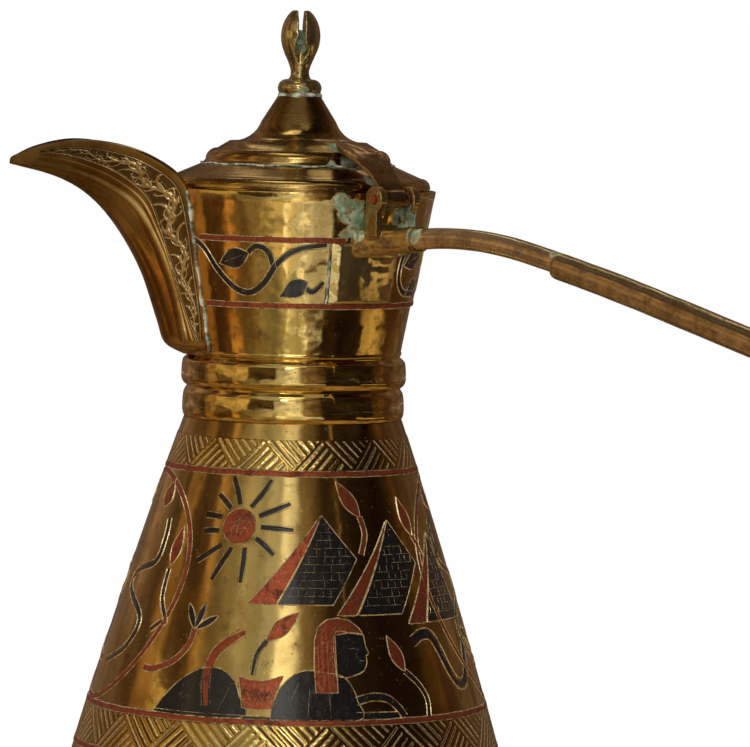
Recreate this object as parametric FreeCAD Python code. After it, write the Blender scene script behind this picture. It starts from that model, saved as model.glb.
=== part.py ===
import FreeCAD, Part
import math
import os

# Coffee pot of spun brass with a cast beak spout, a hinged lid and a long side handle.
# Millimetres, +Z up, origin on the table under the pot's axis, spout towards -X.

# Sheet, castings and gaps
sheet = 1.0               # spun sheet of belly, bowl and neck
lid_sheet = 0.9           # spun sheet of the lid
cast_wall = 1.7           # wall of the spout casting
solder_gap = 0.05         # between soldered faces
lid_gap = 0.35            # between the lid and the rim that it sits on
pin_gap = 0.06            # running clearance of the hinge pin

# Heights, stacked from the table
foot_height = 6.0
bowl_height = 20.0
belly_height = 105.2
rib_height = 8.5
rib_crest = 0.47          # widest place of a rib, as a share of its height
neck_height = 45.0

# Radii of the vessel
foot_radius = 51.0
foot_width = 5.0
foot_flare = 1.5
foot_hollow = 0.25
bowl_floor_radius = 50.0
bowl_lap = 4.0            # bowl edge soldered inside the belly
joggle = 3.0              # height over which a sheet is set inwards at a lap
belly_radius = 62.2
belly_top_radius = 29.5
belly_bulge = 0.9
sleeve_radius = 28.0      # ends of belly and neck that meet inside the waist collar
lower_rib_radius = 30.0
upper_rib_radius = 30.4
groove_radius = 28.8
neck_base_radius = 28.6
neck_step_height = 14.0
neck_step = 0.4
rim_radius = 37.4
rim_lip = 3.4             # in-turned seat for the lid
rim_thickness = 1.2

# Lid
brim_inset = 1.6          # lid's edge inside the rim
brim_edge = 2.9
brim_corner = 0.6
brim_rise = 3.2
brim_overlap = 3.0        # brim under the drum
drum_base_radius = 26.0
drum_top_radius = 25.0
drum_height = 4.2
shoulder_round = 0.8
shoulder_rise = 3.4
cone_base_radius = 14.5
cone_foot_radius = 10.9
cone_foot_rise = 3.2
cone_foot_wall = 1.26     # thicker metal where the lid turns up into the cone
cone_sweep = 0.9          # hollow of the sweep from shoulder to cone
cone_height = 7.7
cone_top_radius = 7.0
cone_corner = 0.6
skirt_depth = 4.4
skirt_gap = 0.4

# Finial, heights above the lid's top
finial_tang_radius = 2.0
finial_tang = 4.0
bead_radius = 5.9
bead_height = 4.4
bead_undercut = 1.2
bead_crest = 0.42         # widest place of the bead, as a share of its height
finial_neck_radius = 2.5
finial_neck_height = 5.9
finial_neck_flare = 0.5
bud_radius = 5.3
bud_height = 15.4
bud_swell = (0.42, 0.43)  # place on the bud's rise, as shares of its swell and of its rise
bud_shoulder = (0.78, 0.7)  # place on the bud's fall, as shares of its radius and of its fall
finial_height = 23.0
finial_tip_radius = 2.2
fork_width = 1.5
fork_mouth = 1.9
fork_depth = 7.6          # slot at the middle of the bud
fork_azimuth = -97.0
fork_scoop_radius = 1.9   # hollows filed below the slot on both faces
fork_scoop_lift = 1.5     # axis of the hollows above the slot's floor
fork_scoop_angle = 48.0   # fall of the slot's floor towards both faces

# Spout, towards -X
spout_half_angle = 27.0
spout_window = 20.0
spout_window_height = 17.0  # lower edge of the pouring window, above the neck's foot
spout_nose_wall = 1.2     # wall of the spout round its keel, measured level
spout_side_wall = 1.36    # wall of the spout's cheeks, measured level
channel_least_nose = 0.45  # least keel radius and half width of the channel, as shares of the outside
channel_least_width = 0.5
steepest_cheek = 0.98     # sine of the steepest lean of a cheek
# Stations below the rim: keel and edge height as shares of the neck, keel reach beyond the neck,
# width as a share of the neck's, nose radius
spout_low_stations = (
    (0.002, 0.01, 1.8, 0.72, 5.5),
    (0.068, 0.08, 6.4, 0.95, 7.5),
    (0.21, 0.26, 7.6, 1.0, 8.5),
    (0.465, 0.55, 9.1, 1.0, 8.0),
    (0.667, 0.79, 12.2, 1.0, 7.2),
)
# Stations of the beak: keel beyond the rim and above it, edge beyond the rim and above it,
# narrowing of the half width, nose radius
spout_high_stations = (
    (15.0, -7.3, -2.8, 1.4, 0.4, 6.2),
    (20.6, -2.1, 5.6, 7.8, 1.9, 5.0),
    (26.1, 1.1, 14.6, 11.0, 5.3, 3.8),
    (31.6, 3.1, 24.0, 11.9, 9.5, 2.5),
    (37.4, 4.5, 34.2, 10.0, 13.5, 1.3),
    (41.2, 5.4, 41.0, 6.8, 16.1, 0.5),
)

# Handle and hinge
handle_azimuth = -65.0
root_width = 16.0
root_depth = 7.6
root_end_width = 7.4
root_end_depth = 6.8
root_corner = 2.2
root_shares = (0.0, 0.25, 0.6, 1.0)  # sections of the root, as shares of its reach
root_reach = 15.6         # end of the root casting, beyond the rim radius
root_drop = 11.7          # rod axis at the end of the root, below the rim
rod_radius = 2.75
rod_seat = 6.0
rod_rise_angle = 5.6
rod_crown_radius = 170.0
rod_crown_fall = 9.5
rod_sweep_radius = 1100.0
rod_fall = 12.5
handle_length = 149.0     # bare rod and grip, beyond the end of the root
grip_length = 91.5
grip_radius = 3.4
tang_radius = 2.0
tang_length = 40.0
end_cap_spigot = 7.0
end_cap_length = 3.2
end_cap_flat = 0.8
end_cap_bulge = (0.8, 0.66)  # place on the cap's round, as shares of its radius and length
plate_azimuth = -68.0
plate_half_angle = 18.0
plate_thickness = 0.6
hinge_reach = 4.6         # pin axis, beyond the rim radius
hinge_drop = 1.5          # pin axis, below the rim
pin_radius = 1.2
pin_proud = 0.5
lug_gap = 8.8
lug_thickness = 2.2
lug_radius = 3.4
lug_stem = 1.4            # outer edge of the lugs below the pin, beyond its axis
knuckle_radius = 2.3
knuckle_play = 0.25
strap_thickness = 1.0
strap_width = 11.6
strap_waist = 11.5        # widest place of the strap, from the pin
strap_overhang = 6.2      # tip of the strap, inside the drum's edge
strap_arch = 2.6
strap_flare = 0.45        # how far the leaf has widened half way to its widest place

# Copper lines, inlaid figures and their places on the decorated front
line_width = 1.2
line_proud = 0.2
inlay_proud = 0.25
neck_band = 18.2          # between the two neck lines
shoulder_line_drop = 12.7
belly_line_rise = 17.6
band_height = 11.2        # between the two belly lines
front_azimuth = -102.0
sun_azimuth = -21.2
sun_rise = 0.782          # centre, as a share of the picture field's height
sun_radius = 4.4
sun_ray_count = 11
sun_ray_gap = 1.0
sun_ray_long = 8.2
sun_ray_short = 6.4
sun_ray_width = 1.1
pyramid_seam = 0.5        # bare edge between the two faces of a pyramid
# Apex, base left, split and right, right corner: azimuth from the front, share of the field's height
pyramid_places = (
    ((12.7, 0.836), (-13.7, 0.474), (-4.0, 0.474), (15.0, 0.474), (25.2, 0.659)),
    ((42.1, 0.811), (16.6, 0.430), (23.5, 0.430), (41.0, 0.430), (53.0, 0.634)),
    ((66.5, 0.747), (43.4, 0.386), (52.0, 0.386), (76.9, 0.386), (76.9, 0.386)),
)
medallion_low = 0.01      # ends of the oval, as shares of the field's height
medallion_high = 0.985
medallion_half_width = 26.5
medallion_line = 1.1
stem_width = 1.0
stem_taper = 0.5
bud_width = 0.3           # sagitta of a lotus bud's sides, as a share of its length
bud_widest = 0.4
# Tip of the bud, foot of the bud and end of the stem: azimuth from the front, share of the field's height
lotus_places = (
    ((19.9, 0.977), (29.0, 0.834), (27.6, 0.678)),
    ((3.3, 0.442), (-6.6, 0.322), (-9.9, 0.181)),
    ((33.2, 0.339), (38.0, 0.193), (43.6, 0.012)),
)

# Derived places
seam_z = foot_height + bowl_height
belly_top = seam_z + belly_height
shoulder_line_z = belly_top - shoulder_line_drop
lower_line_z = seam_z + belly_line_rise
upper_line_z = lower_line_z + band_height
field_low = upper_line_z + line_width / 2
field_high = shoulder_line_z - line_width / 2
collar_middle = belly_top + rib_height
collar_top = collar_middle + rib_height
rim_z = collar_top + neck_height
step_z = collar_top + neck_step_height
step_radius = neck_base_radius + (rim_radius - neck_base_radius - neck_step) * neck_step_height / neck_height
lid_z = rim_z + lid_gap
brim_radius = rim_radius - brim_inset
brim_top_z = lid_z + brim_edge
brim_slope = brim_rise / (brim_radius - brim_corner - drum_base_radius)
drum_z = brim_top_z + brim_rise
drum_top_z = drum_z + drum_height
cone_z = drum_top_z + shoulder_rise
cone_foot_z = cone_z + cone_foot_rise
lid_top = cone_foot_z + cone_height
hinge_radius = rim_radius + hinge_reach
hinge_z = rim_z - hinge_drop
root_end = rim_radius + root_reach
root_z = rim_z - root_drop
grip_end = root_end + handle_length
grip_start = grip_end - grip_length
V = FreeCAD.Vector
UP = V(0, 0, 1)
ORIGIN = V(0, 0, 0)
ARC_SHARE = 1 - math.sqrt(0.5)  # inset of a rounded corner's middle, as a share of its radius


def section(r, z):
    return V(r, 0, z)


def outline(start, steps, place):
    """Closed face; a step is a point, an arc (middle, end) or a curve [points]."""
    edges = []
    here = place(*start)
    for step in steps + [start]:
        if isinstance(step, list):
            points = [here] + [place(*point) for point in step]
            curve = Part.BSplineCurve()
            curve.interpolate(points)
            edges.append(curve.toShape())
            here = points[-1]
        elif isinstance(step[0], tuple):
            middle, end = place(*step[0]), place(*step[1])
            edges.append(Part.Arc(here, middle, end).toShape())
            here = end
        else:
            end = place(*step)
            if (end - here).Length > 1e-6:
                edges.append(Part.LineSegment(here, end).toShape())
            here = end
    return Part.Face(Part.Wire(edges))


def turned(start, steps, low=0.0, sweep=360.0):
    """Solid turned about Z from an outline of radius and height."""
    face = outline(start, steps, section)
    face.rotate(ORIGIN, UP, low)
    return face.revolve(ORIGIN, UP, sweep)


def at_azimuth(shape, azimuth):
    placed = shape.copy()
    placed.rotate(ORIGIN, UP, azimuth)
    return placed


def belly_arc():
    """Centre and radius of the belly's slightly bulging side."""
    run = belly_top_radius - belly_radius
    chord = math.hypot(run, belly_height)
    radius = (chord ** 2 / 4 + belly_bulge ** 2) / (2 * belly_bulge)
    inward = radius - belly_bulge
    centre_r = (belly_radius + belly_top_radius) / 2 - inward * belly_height / chord
    centre_z = seam_z + belly_height / 2 + inward * run / chord
    return centre_r, centre_z, radius


def belly_r(z, proud=0.0):
    centre_r, centre_z, radius = belly_arc()
    return centre_r + math.sqrt((radius + proud) ** 2 - (z - centre_z) ** 2)


def field_z(share):
    """Height in the picture field, between the lines below and above it."""
    return field_low + share * (field_high - field_low)


def belly_side(low, high, proud):
    """First, middle and last point of the belly's side between two heights."""
    return [(belly_r(z, proud), z) for z in (low, (low + high) / 2, high)]


def belly_skin(low, high, lift, thickness):
    """Thin layer on the belly between two heights."""
    inner = belly_side(low, high, lift)
    outer = belly_side(low, high, lift + thickness)
    return turned(inner[0], [(inner[1], inner[2]), outer[2], (outer[1], outer[0])])


def neck_r(z, proud=0.0):
    if z < step_z:
        slope = (step_radius - neck_base_radius) / neck_step_height
        plain = neck_base_radius + slope * (z - collar_top)
    else:
        slope = (rim_radius - step_radius - neck_step) / (neck_height - neck_step_height)
        plain = step_radius + neck_step + slope * (z - step_z)
    return plain + proud * math.hypot(1, slope)


def neck_skin(low, high, lift, thickness, start, sweep):
    """Thin layer on the upper neck between two heights and two azimuths."""
    top = lift + thickness
    steps = [(neck_r(high, lift), high), (neck_r(high, top), high), (neck_r(low, top), low)]
    return turned((neck_r(low, lift), low), steps, start, sweep)


def neck_core(lift):
    """Everything inside the neck's outer face, carried on above the rim."""
    steps = [(neck_base_radius + lift, collar_top - sheet), (neck_base_radius + lift, collar_top)]
    steps += [(step_radius + lift, step_z), (step_radius + neck_step + lift, step_z)]
    steps += [(rim_radius + lift, rim_z), (rim_radius + lift, lid_top), (0, lid_top)]
    return turned((0, collar_top - sheet), steps)


def foot_ring():
    top = foot_radius - foot_flare
    inner = foot_radius - foot_width
    hollow = (top - foot_hollow, foot_height / 2)
    return turned((inner, 0), [(foot_radius, 0), (hollow, (top, foot_height)), (inner, foot_height)])


def bottom_bowl():
    centre_r, centre_z, radius = belly_arc()
    seam = section(belly_radius, seam_z)
    inward = section(centre_r - belly_radius, centre_z - seam_z).normalize()
    across = section(bowl_floor_radius, foot_height) - seam
    bend = across.dot(across) / (2 * inward.dot(across))
    centre = seam + inward * bend

    def wall_point(inset, z):
        return centre.x + math.sqrt((bend - inset) ** 2 - (z - centre.z) ** 2), z

    def wall(inset, low, high):
        return [wall_point(inset, z) for z in (low, (low + high) / 2, high)]

    outer = wall(0, foot_height, seam_z)
    inner = wall(sheet, foot_height + sheet, seam_z - joggle)
    lap_out = belly_side(seam_z, seam_z + bowl_lap, -sheet - solder_gap)
    lap_in = belly_side(seam_z, seam_z + bowl_lap, -2 * sheet - solder_gap)
    steps = [outer[0], (outer[1], outer[2]), lap_out[0], (lap_out[1], lap_out[2])]
    steps += [lap_in[2], (lap_in[1], lap_in[0]), inner[2], (inner[1], inner[0])]
    steps += [(0, foot_height + sheet)]
    return turned((0, foot_height), steps)


def belly_shell():
    outer = belly_side(seam_z, belly_top, 0)
    inner = belly_side(seam_z, belly_top - joggle, -sheet)
    bore = sleeve_radius - sheet
    steps = [(outer[1], outer[2]), (sleeve_radius, belly_top), (sleeve_radius, collar_middle)]
    steps += [(bore, collar_middle), (bore, belly_top - sheet), inner[2], (inner[1], inner[0])]
    return turned(outer[0], steps)


def waist_collar():
    bore = sleeve_radius + solder_gap
    lower = (lower_rib_radius, belly_top + rib_crest * rib_height)
    upper = (upper_rib_radius, collar_middle + rib_crest * rib_height)
    steps = [(belly_top_radius, belly_top), (lower, (groove_radius, collar_middle))]
    steps += [(upper, (neck_base_radius, collar_top)), (bore, collar_top)]
    return turned((bore, belly_top), steps)


def neck_shell():
    bore = sleeve_radius - sheet
    lip_z = rim_z - rim_thickness
    steps = [(sleeve_radius, collar_top), (neck_base_radius, collar_top), (step_radius, step_z)]
    steps += [(step_radius + neck_step, step_z), (rim_radius, rim_z), (rim_radius - rim_lip, rim_z)]
    steps += [(rim_radius - rim_lip, lip_z), (neck_r(lip_z, -sheet), lip_z)]
    steps += [(neck_r(step_z, -sheet), step_z), (bore, collar_top - sheet), (bore, collar_middle)]
    shell = turned((sleeve_radius, collar_middle), steps)
    half = spout_window / 2
    sill = collar_top + spout_window_height

    def window_point(across, z):
        return V(-rim_radius / 2, across, z)

    steps = [(half, rim_z + 1), (-half, rim_z + 1), (-half, sill + half)]
    window = outline((half, sill + half), steps + [((0, sill), (half, sill + half))], window_point)
    return shell.cut(window.extrude(V(-rim_radius, 0, 0)))


def spout_stations():
    """Keel point, edge point, half width and nose radius from the heel to the tip."""
    spread = math.radians(spout_half_angle)
    stations = []
    for share, edge_share, reach, width_share, nose in spout_low_stations:
        keel_z = collar_top + share * neck_height
        edge_z = collar_top + edge_share * neck_height
        keel = (neck_r(keel_z) + reach, keel_z)
        edge = (neck_r(edge_z) * math.cos(spread), edge_z)
        stations.append((keel, edge, neck_r(edge_z) * math.sin(spread) * width_share, nose))
    half_width = rim_radius * math.sin(spread)
    for reach, rise, edge_reach, edge_rise, narrow, nose in spout_high_stations:
        keel = (rim_radius + reach, rim_z + rise)
        edge = (rim_radius + edge_reach, rim_z + edge_rise)
        stations.append((keel, edge, half_width - narrow, nose))
    return stations


def spout_section(keel, edge, half_width, nose):
    """Closed U with its bottom at the keel and its ends at the edge, across the spout."""
    up = section(*edge) - section(*keel)
    depth = up.Length
    up.normalize()
    base = section(*keel)

    def place(across, height):
        return base + up * height + V(0, across, 0)

    to_corner = math.hypot(half_width, depth - nose)
    lean = math.atan2(half_width, depth - nose) - math.asin(min(steepest_cheek, nose / to_corner))
    touch = (nose * math.cos(lean), nose - nose * math.sin(lean))
    far = (-touch[0], touch[1])
    start = (half_width, depth)
    steps = [(-half_width, depth), far, ((0, 0), touch)]
    return outline(start, steps, place).OuterWire


def spout():
    stations = spout_stations()
    body = Part.makeLoft([spout_section(*station) for station in stations], True)
    hollow = []
    for keel, edge, half_width, nose in stations[1:-1]:
        up = (section(*edge) - section(*keel)).normalize()
        floor = section(*keel) + up * cast_wall
        mouth = section(*edge) + up * (2 * cast_wall)
        inner_nose = max(nose - spout_nose_wall, channel_least_nose * nose)
        inner_width = max(half_width - spout_side_wall, channel_least_width * half_width)
        hollow.append(spout_section((floor.x, floor.z), (mouth.x, mouth.z), inner_width, inner_nose))
    channel = Part.makeLoft(hollow, True)
    return at_azimuth(body.cut(channel).cut(neck_core(solder_gap)), 180)


def lid_brim():
    hole = drum_base_radius - brim_overlap
    top_in = drum_z + brim_slope * brim_overlap
    inset = brim_corner * ARC_SHARE
    inside = brim_radius - lid_sheet
    corner = ((brim_radius - inset, brim_top_z - inset), (brim_radius - brim_corner, brim_top_z))
    steps = [(brim_radius, brim_top_z - brim_corner), corner, (hole, top_in), (hole, top_in - lid_sheet)]
    steps += [(inside, brim_under(inside)), (inside, lid_z)]
    return turned((brim_radius, lid_z), steps)


def brim_under(r):
    return drum_z + brim_slope * (drum_base_radius - r) - lid_sheet


def lid_dome():
    bottom = drum_z + solder_gap
    inner_base = drum_base_radius - lid_sheet
    hole = finial_tang_radius + solder_gap
    inset = shoulder_round * ARC_SHARE
    shoulder_end = (drum_top_radius - shoulder_round, drum_top_z)
    shoulder = ((drum_top_radius - inset, drum_top_z - inset), shoulder_end)
    sweep = ((cone_base_radius + cone_foot_radius) / 2 - cone_sweep, (cone_z + cone_foot_z) / 2 - cone_sweep)
    steps = [(drum_top_radius, drum_top_z - shoulder_round), shoulder, (cone_base_radius, cone_z)]
    steps += [(sweep, (cone_foot_radius, cone_foot_z)), (cone_top_radius, lid_top - cone_corner)]
    steps += [(cone_top_radius - cone_corner, lid_top), (hole, lid_top), (hole, lid_top - lid_sheet)]
    steps += [(cone_top_radius - lid_sheet - cone_corner, lid_top - lid_sheet)]
    steps += [(cone_foot_radius - cone_foot_wall, cone_foot_z - lid_sheet)]
    steps += [(cone_base_radius - lid_sheet, cone_z - lid_sheet)]
    steps += [(drum_top_radius - lid_sheet, drum_top_z - shoulder_round - lid_sheet)]
    steps += [(inner_base, bottom + brim_slope * lid_sheet)]
    return turned((drum_base_radius, bottom), steps)


def lid_skirt():
    outer = rim_radius - rim_lip - skirt_gap
    inner = outer - lid_sheet
    low = lid_z - skirt_depth
    steps = [(outer, low), (outer, brim_under(outer) - solder_gap), (inner, brim_under(inner) - solder_gap)]
    return turned((inner, low), steps)


def finial():
    bead_low = bead_radius - bead_undercut
    neck_low = finial_neck_radius + finial_neck_flare
    bead = ((bead_radius, lid_top + bead_crest * bead_height), (neck_low, lid_top + bead_height))
    rise = bud_height - finial_neck_height
    fall = finial_height - bud_height
    swell = bud_radius - finial_neck_radius
    curve = [(finial_neck_radius, finial_neck_height)]
    curve += [(finial_neck_radius + bud_swell[0] * swell, finial_neck_height + bud_swell[1] * rise)]
    curve += [(bud_radius, bud_height), (bud_shoulder[0] * bud_radius, bud_height + bud_shoulder[1] * fall)]
    curve += [(finial_tip_radius, finial_height)]
    steps = [(finial_tang_radius, lid_top - finial_tang), (finial_tang_radius, lid_top), (bead_low, lid_top)]
    steps += [bead, [(r, lid_top + z) for r, z in curve], (0, lid_top + finial_height)]
    body = turned((0, lid_top - finial_tang), steps)

    reach = 2 * bud_radius
    slope = math.radians(fork_scoop_angle)
    floor = lid_top + finial_height - fork_depth
    foot = floor - reach * math.tan(slope)
    top = lid_top + finial_height + fork_width

    def across(width, z):
        return V(-reach, width, z)

    steps = [(fork_width / 2, floor), (fork_mouth / 2, top), (-fork_mouth / 2, top)]
    steps += [(-fork_width / 2, floor), (-fork_width / 2, foot)]
    slot = outline((fork_width / 2, foot), steps, across).extrude(V(2 * reach, 0, 0))

    def along(r, z):
        return V(r, -reach, z)

    steps = [(-reach, top), (-reach, foot), (0, floor), (reach, foot)]
    above_floor = outline((reach, top), steps, along).extrude(V(0, 2 * reach, 0))
    fork = slot.common(above_floor)
    for face in (1, -1):
        down = V(face * math.cos(slope), 0, -math.sin(slope))
        axis = V(0, 0, floor + fork_scoop_lift)
        fork = fork.fuse(Part.makeCylinder(fork_scoop_radius, reach, axis, down))
    return body.cut(at_azimuth(fork, fork_azimuth))


def rod_line():
    """Start of the rod's axis, end of its crown and end of its sweep."""
    rise, crown, fall = (math.radians(a) for a in (-rod_rise_angle, rod_crown_fall, rod_fall))

    def along(point, angle, end, radius):
        r = point[0] + radius * (math.sin(end) - math.sin(angle))
        z = point[1] + radius * (math.cos(end) - math.cos(angle))
        return r, z

    start = (root_end, root_z)
    first = along(start, rise, crown, rod_crown_radius)
    return start, first, along(first, crown, fall, rod_sweep_radius)


def rod_angle(r):
    """Downward angle of the rod's axis at a distance from the pot's axis."""
    _, first, second = rod_line()
    if r < first[0]:
        sine = (r - root_end) / rod_crown_radius - math.sin(math.radians(rod_rise_angle))
    elif r < second[0]:
        sine = (r - first[0]) / rod_sweep_radius + math.sin(math.radians(rod_crown_fall))
    else:
        sine = math.sin(math.radians(rod_fall))
    return math.asin(sine)


def rod_z(r):
    start, first, second = rod_line()
    level = math.cos(rod_angle(r))
    if r < first[0]:
        return start[1] + rod_crown_radius * (level - math.cos(math.radians(rod_rise_angle)))
    if r < second[0]:
        return first[1] + rod_sweep_radius * (level - math.cos(math.radians(rod_crown_fall)))
    return second[1] - (r - second[0]) * math.tan(math.radians(rod_fall))


def rod_path(low, high):
    """Wire along the rod's axis between two distances from the pot's axis."""
    _, (first, _), (second, _) = rod_line()
    edges = []
    for begin, end, bent in ((root_end, first, True), (first, second, True), (second, high, False)):
        here, there = max(begin, low), min(end, high)
        if there <= here:
            continue
        points = [section(r, rod_z(r)) for r in (here, (here + there) / 2, there)]
        edge = Part.Arc(*points) if bent else Part.LineSegment(points[0], points[2])
        edges.append(edge.toShape())
    return Part.Wire(edges)


def round_bar(low, high, radius, drop=0.0):
    """Round bar along the rod's axis, set below it by drop."""
    path = rod_path(low, high)
    angle = rod_angle(low)
    along = section(math.cos(angle), -math.sin(angle))
    below = section(-math.sin(angle), -math.cos(angle))
    centre = section(low, rod_z(low)) + below * drop
    rim = Part.Wire([Part.Circle(centre, along, radius).toShape()])
    shell = Part.BRepOffsetAPI.MakePipeShell(path)
    shell.add(rim)
    shell.build()
    shell.makeSolid()
    return shell.shape()


def root_axis():
    """Start and direction of the straight seat of the rod in the root casting."""
    angle = math.radians(rod_rise_angle)
    direction = section(math.cos(angle), math.sin(angle))
    return section(root_end, root_z), direction


def rounded_block_section(r, width, depth, corner):
    """Rounded rectangle across the root casting, at a distance from the pot's axis."""
    z = root_z - (root_end - r) * math.tan(math.radians(rod_rise_angle))
    w, d = width / 2, depth / 2
    k = corner * ARC_SHARE

    def place(across, height):
        return V(r, across, z + height)

    steps = [(w, d - corner), ((w - k, d - k), (w - corner, d)), (corner - w, d)]
    steps += [((k - w, d - k), (-w, d - corner)), (-w, corner - d), ((k - w, k - d), (corner - w, -d))]
    steps += [(w - corner, -d), ((w - k, k - d), (w, corner - d))]
    return outline((w, corner - d), steps, place).OuterWire


def handle_bracket():
    inside = neck_r(root_z) - 2 * sheet
    neck_face = neck_r(root_z)
    sections = []
    for share in root_shares:
        ease = (1 - share) ** 2
        r = neck_face + (root_end - neck_face) * share if share else inside
        width = root_end_width + (root_width - root_end_width) * ease
        depth = root_end_depth + (root_depth - root_end_depth) * ease
        sections.append(rounded_block_section(r, width, depth, root_corner))
    casting = Part.makeLoft(sections, True)
    outside = lug_gap / 2 + lug_thickness

    def cheek(r, z):
        return V(r, -outside, z)

    def head(angle):
        return hinge_radius + lug_radius * math.cos(angle), hinge_z + lug_radius * math.sin(angle)

    stem_angle = -math.acos(lug_stem / lug_radius)
    steps = [head(math.pi), (head((math.pi + stem_angle) / 2), head(stem_angle))]
    steps += [(hinge_radius + lug_stem, root_z)]
    lugs = outline((hinge_radius - lug_radius, root_z), steps, cheek).extrude(V(0, 2 * outside, 0))
    slot_floor = root_z + root_end_depth / 2
    slot = Part.makeBox(2 * hinge_radius, lug_gap, lid_top, V(0, -lug_gap / 2, slot_floor))
    casting = casting.fuse(lugs.cut(slot))
    hole = pin_radius + solder_gap / 2
    bore = Part.makeCylinder(hole, 2 * outside, V(hinge_radius, -outside, hinge_z), V(0, 1, 0))
    end, direction = root_axis()
    seat = Part.makeCylinder(rod_radius + solder_gap, 2 * rod_seat, end - direction * rod_seat, direction)
    casting = at_azimuth(casting.cut(bore).cut(seat).removeSplitter(), handle_azimuth)
    plate_seat = plate_layer(-2 * sheet, plate_thickness + 2 * solder_gap)
    return casting.cut(neck_core(solder_gap)).cut(plate_seat)


def plate_layer(inside, outside):
    """Layer of the blank plate's outline between two distances from the neck."""
    low, high = step_z + line_width, step_z + neck_band - line_width / 2
    start = plate_azimuth - plate_half_angle
    return neck_skin(low, high, inside, outside - inside, start, 2 * plate_half_angle)


def handle_plate():
    return plate_layer(solder_gap, plate_thickness + solder_gap)


def handle_rod():
    end, direction = root_axis()
    seat = Part.makeCylinder(rod_radius, rod_seat, end - direction * rod_seat, direction)
    bare = round_bar(root_end, grip_start, rod_radius)
    tang = round_bar(grip_start, grip_start + tang_length, tang_radius)
    rod = seat.fuse([bare, tang]).removeSplitter()
    return at_azimuth(rod, handle_azimuth)


def handle_sleeve():
    drop = grip_radius - rod_radius
    outer = round_bar(grip_start, grip_end, grip_radius, drop)
    bore = round_bar(grip_start, grip_end, tang_radius + solder_gap)
    return at_azimuth(outer.cut(bore), handle_azimuth)


def handle_end_cap():
    angle = rod_angle(grip_end)
    along = section(math.cos(angle), -math.sin(angle))
    below = section(-math.sin(angle), -math.cos(angle))
    end = section(grip_end, rod_z(grip_end))
    centre = end + below * (grip_radius - rod_radius)

    def place(r, length):
        return centre + along * length + below * r

    bulge = (end_cap_bulge[0] * grip_radius, end_cap_bulge[1] * end_cap_length)
    nose = (end_cap_flat, end_cap_length)
    face = outline((0, 0), [(grip_radius, 0), (bulge, nose), (0, end_cap_length)], place)
    dome = face.revolve(centre, along, 360)
    spigot = Part.makeCylinder(tang_radius, end_cap_spigot, end - along * end_cap_spigot, along)
    return at_azimuth(dome.fuse(spigot), handle_azimuth)


def hinge_pin():
    reach = lug_gap / 2 + lug_thickness + pin_proud
    end = V(hinge_radius, -reach, hinge_z)
    return at_azimuth(Part.makeCylinder(pin_radius, 2 * reach, end, V(0, 1, 0)), handle_azimuth)


def hinge_strap():
    """Leaf of sheet from the eye on the pin up to the lid's shoulder."""
    half = lug_gap / 2 - knuckle_play
    seat_r = drum_top_radius - shoulder_round
    tip_r = drum_top_radius - strap_overhang
    slope = shoulder_rise / (seat_r - cone_base_radius)
    fall = strap_thickness * math.hypot(1, slope)
    eye_z = hinge_z + knuckle_radius
    tip_z = drum_top_z + slope * (seat_r - tip_r) + solder_gap + fall
    middle = ((hinge_radius + tip_r) / 2, (eye_z + tip_z) / 2 + strap_arch)
    upper = [(hinge_radius, eye_z), middle, (tip_r, tip_z)]
    lower = [(r, z - fall) for r, z in upper]

    def side(r, z):
        return V(r, -strap_width, z)

    steps = [(upper[1], upper[2]), lower[2], (lower[1], lower[0])]
    sheet_strip = outline(upper[0], steps, side).extrude(V(0, 2 * strap_width, 0))
    wide_r = hinge_radius - strap_waist
    wide = strap_width / 2

    def plan(r, across):
        return V(r, across, hinge_z - knuckle_radius)

    near_r = hinge_radius - lug_radius - knuckle_play
    between = ((near_r + wide_r) / 2, half + strap_flare * (wide - half))
    steps = [(near_r, half), [between, (wide_r, wide), (tip_r, 0)]]
    steps += [[(wide_r, -wide), (between[0], -between[1]), (near_r, -half)]]
    leaf = outline((hinge_radius, half), steps + [(hinge_radius, -half)], plan).extrude(V(0, 0, lid_top))
    eye = Part.makeCylinder(knuckle_radius, 2 * half, V(hinge_radius, -half, hinge_z), V(0, 1, 0))
    bore = Part.makeCylinder(pin_radius + pin_gap, 2 * half, V(hinge_radius, -half, hinge_z), V(0, 1, 0))
    strap = sheet_strip.common(leaf).fuse(eye).cut(bore).removeSplitter()
    return at_azimuth(strap, handle_azimuth)


def spout_edge_azimuths():
    """First azimuth and sweep of the neck that the spout leaves free."""
    clear = spout_half_angle + math.degrees(2 * line_width / rim_radius)
    return clear - 180, 360 - 2 * clear


def neck_line_upper():
    z = step_z + neck_band
    start, sweep = spout_edge_azimuths()
    gap = math.degrees((root_width / 2 + line_width) / neck_r(z))
    near_sweep = handle_azimuth - gap - start
    lines = []
    for begin, length in ((start, near_sweep), (handle_azimuth + gap, sweep - near_sweep - 2 * gap)):
        lines.append(neck_skin(z - line_width / 2, z + line_width / 2, solder_gap, line_proud, begin, length))
    return Part.makeCompound(lines)


def neck_line_lower():
    start, sweep = spout_edge_azimuths()
    return neck_skin(step_z, step_z + line_width, solder_gap, line_proud, start, sweep)


def belly_line(z):
    return belly_skin(z - line_width / 2, z + line_width / 2, solder_gap, line_proud)


def inlays(azimuth, faces):
    """Thin plates on the belly, one for each flat outline seen from an azimuth."""
    plates = []
    for face in faces:
        box = face.BoundBox
        layer = belly_skin(max(box.ZMin - 1, seam_z), min(box.ZMax + 1, belly_top), solder_gap, inlay_proud)
        prism = at_azimuth(face.extrude(V(2 * belly_radius, 0, 0)), azimuth)
        plates += prism.common(layer).Solids
    return plates


def flat(across, z):
    return V(0, across, z)


def seen_from(azimuth, degrees, z):
    """Flat place of a point at an azimuth on the belly, seen from another azimuth."""
    return belly_r(z) * math.sin(math.radians(degrees - azimuth)), z


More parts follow.
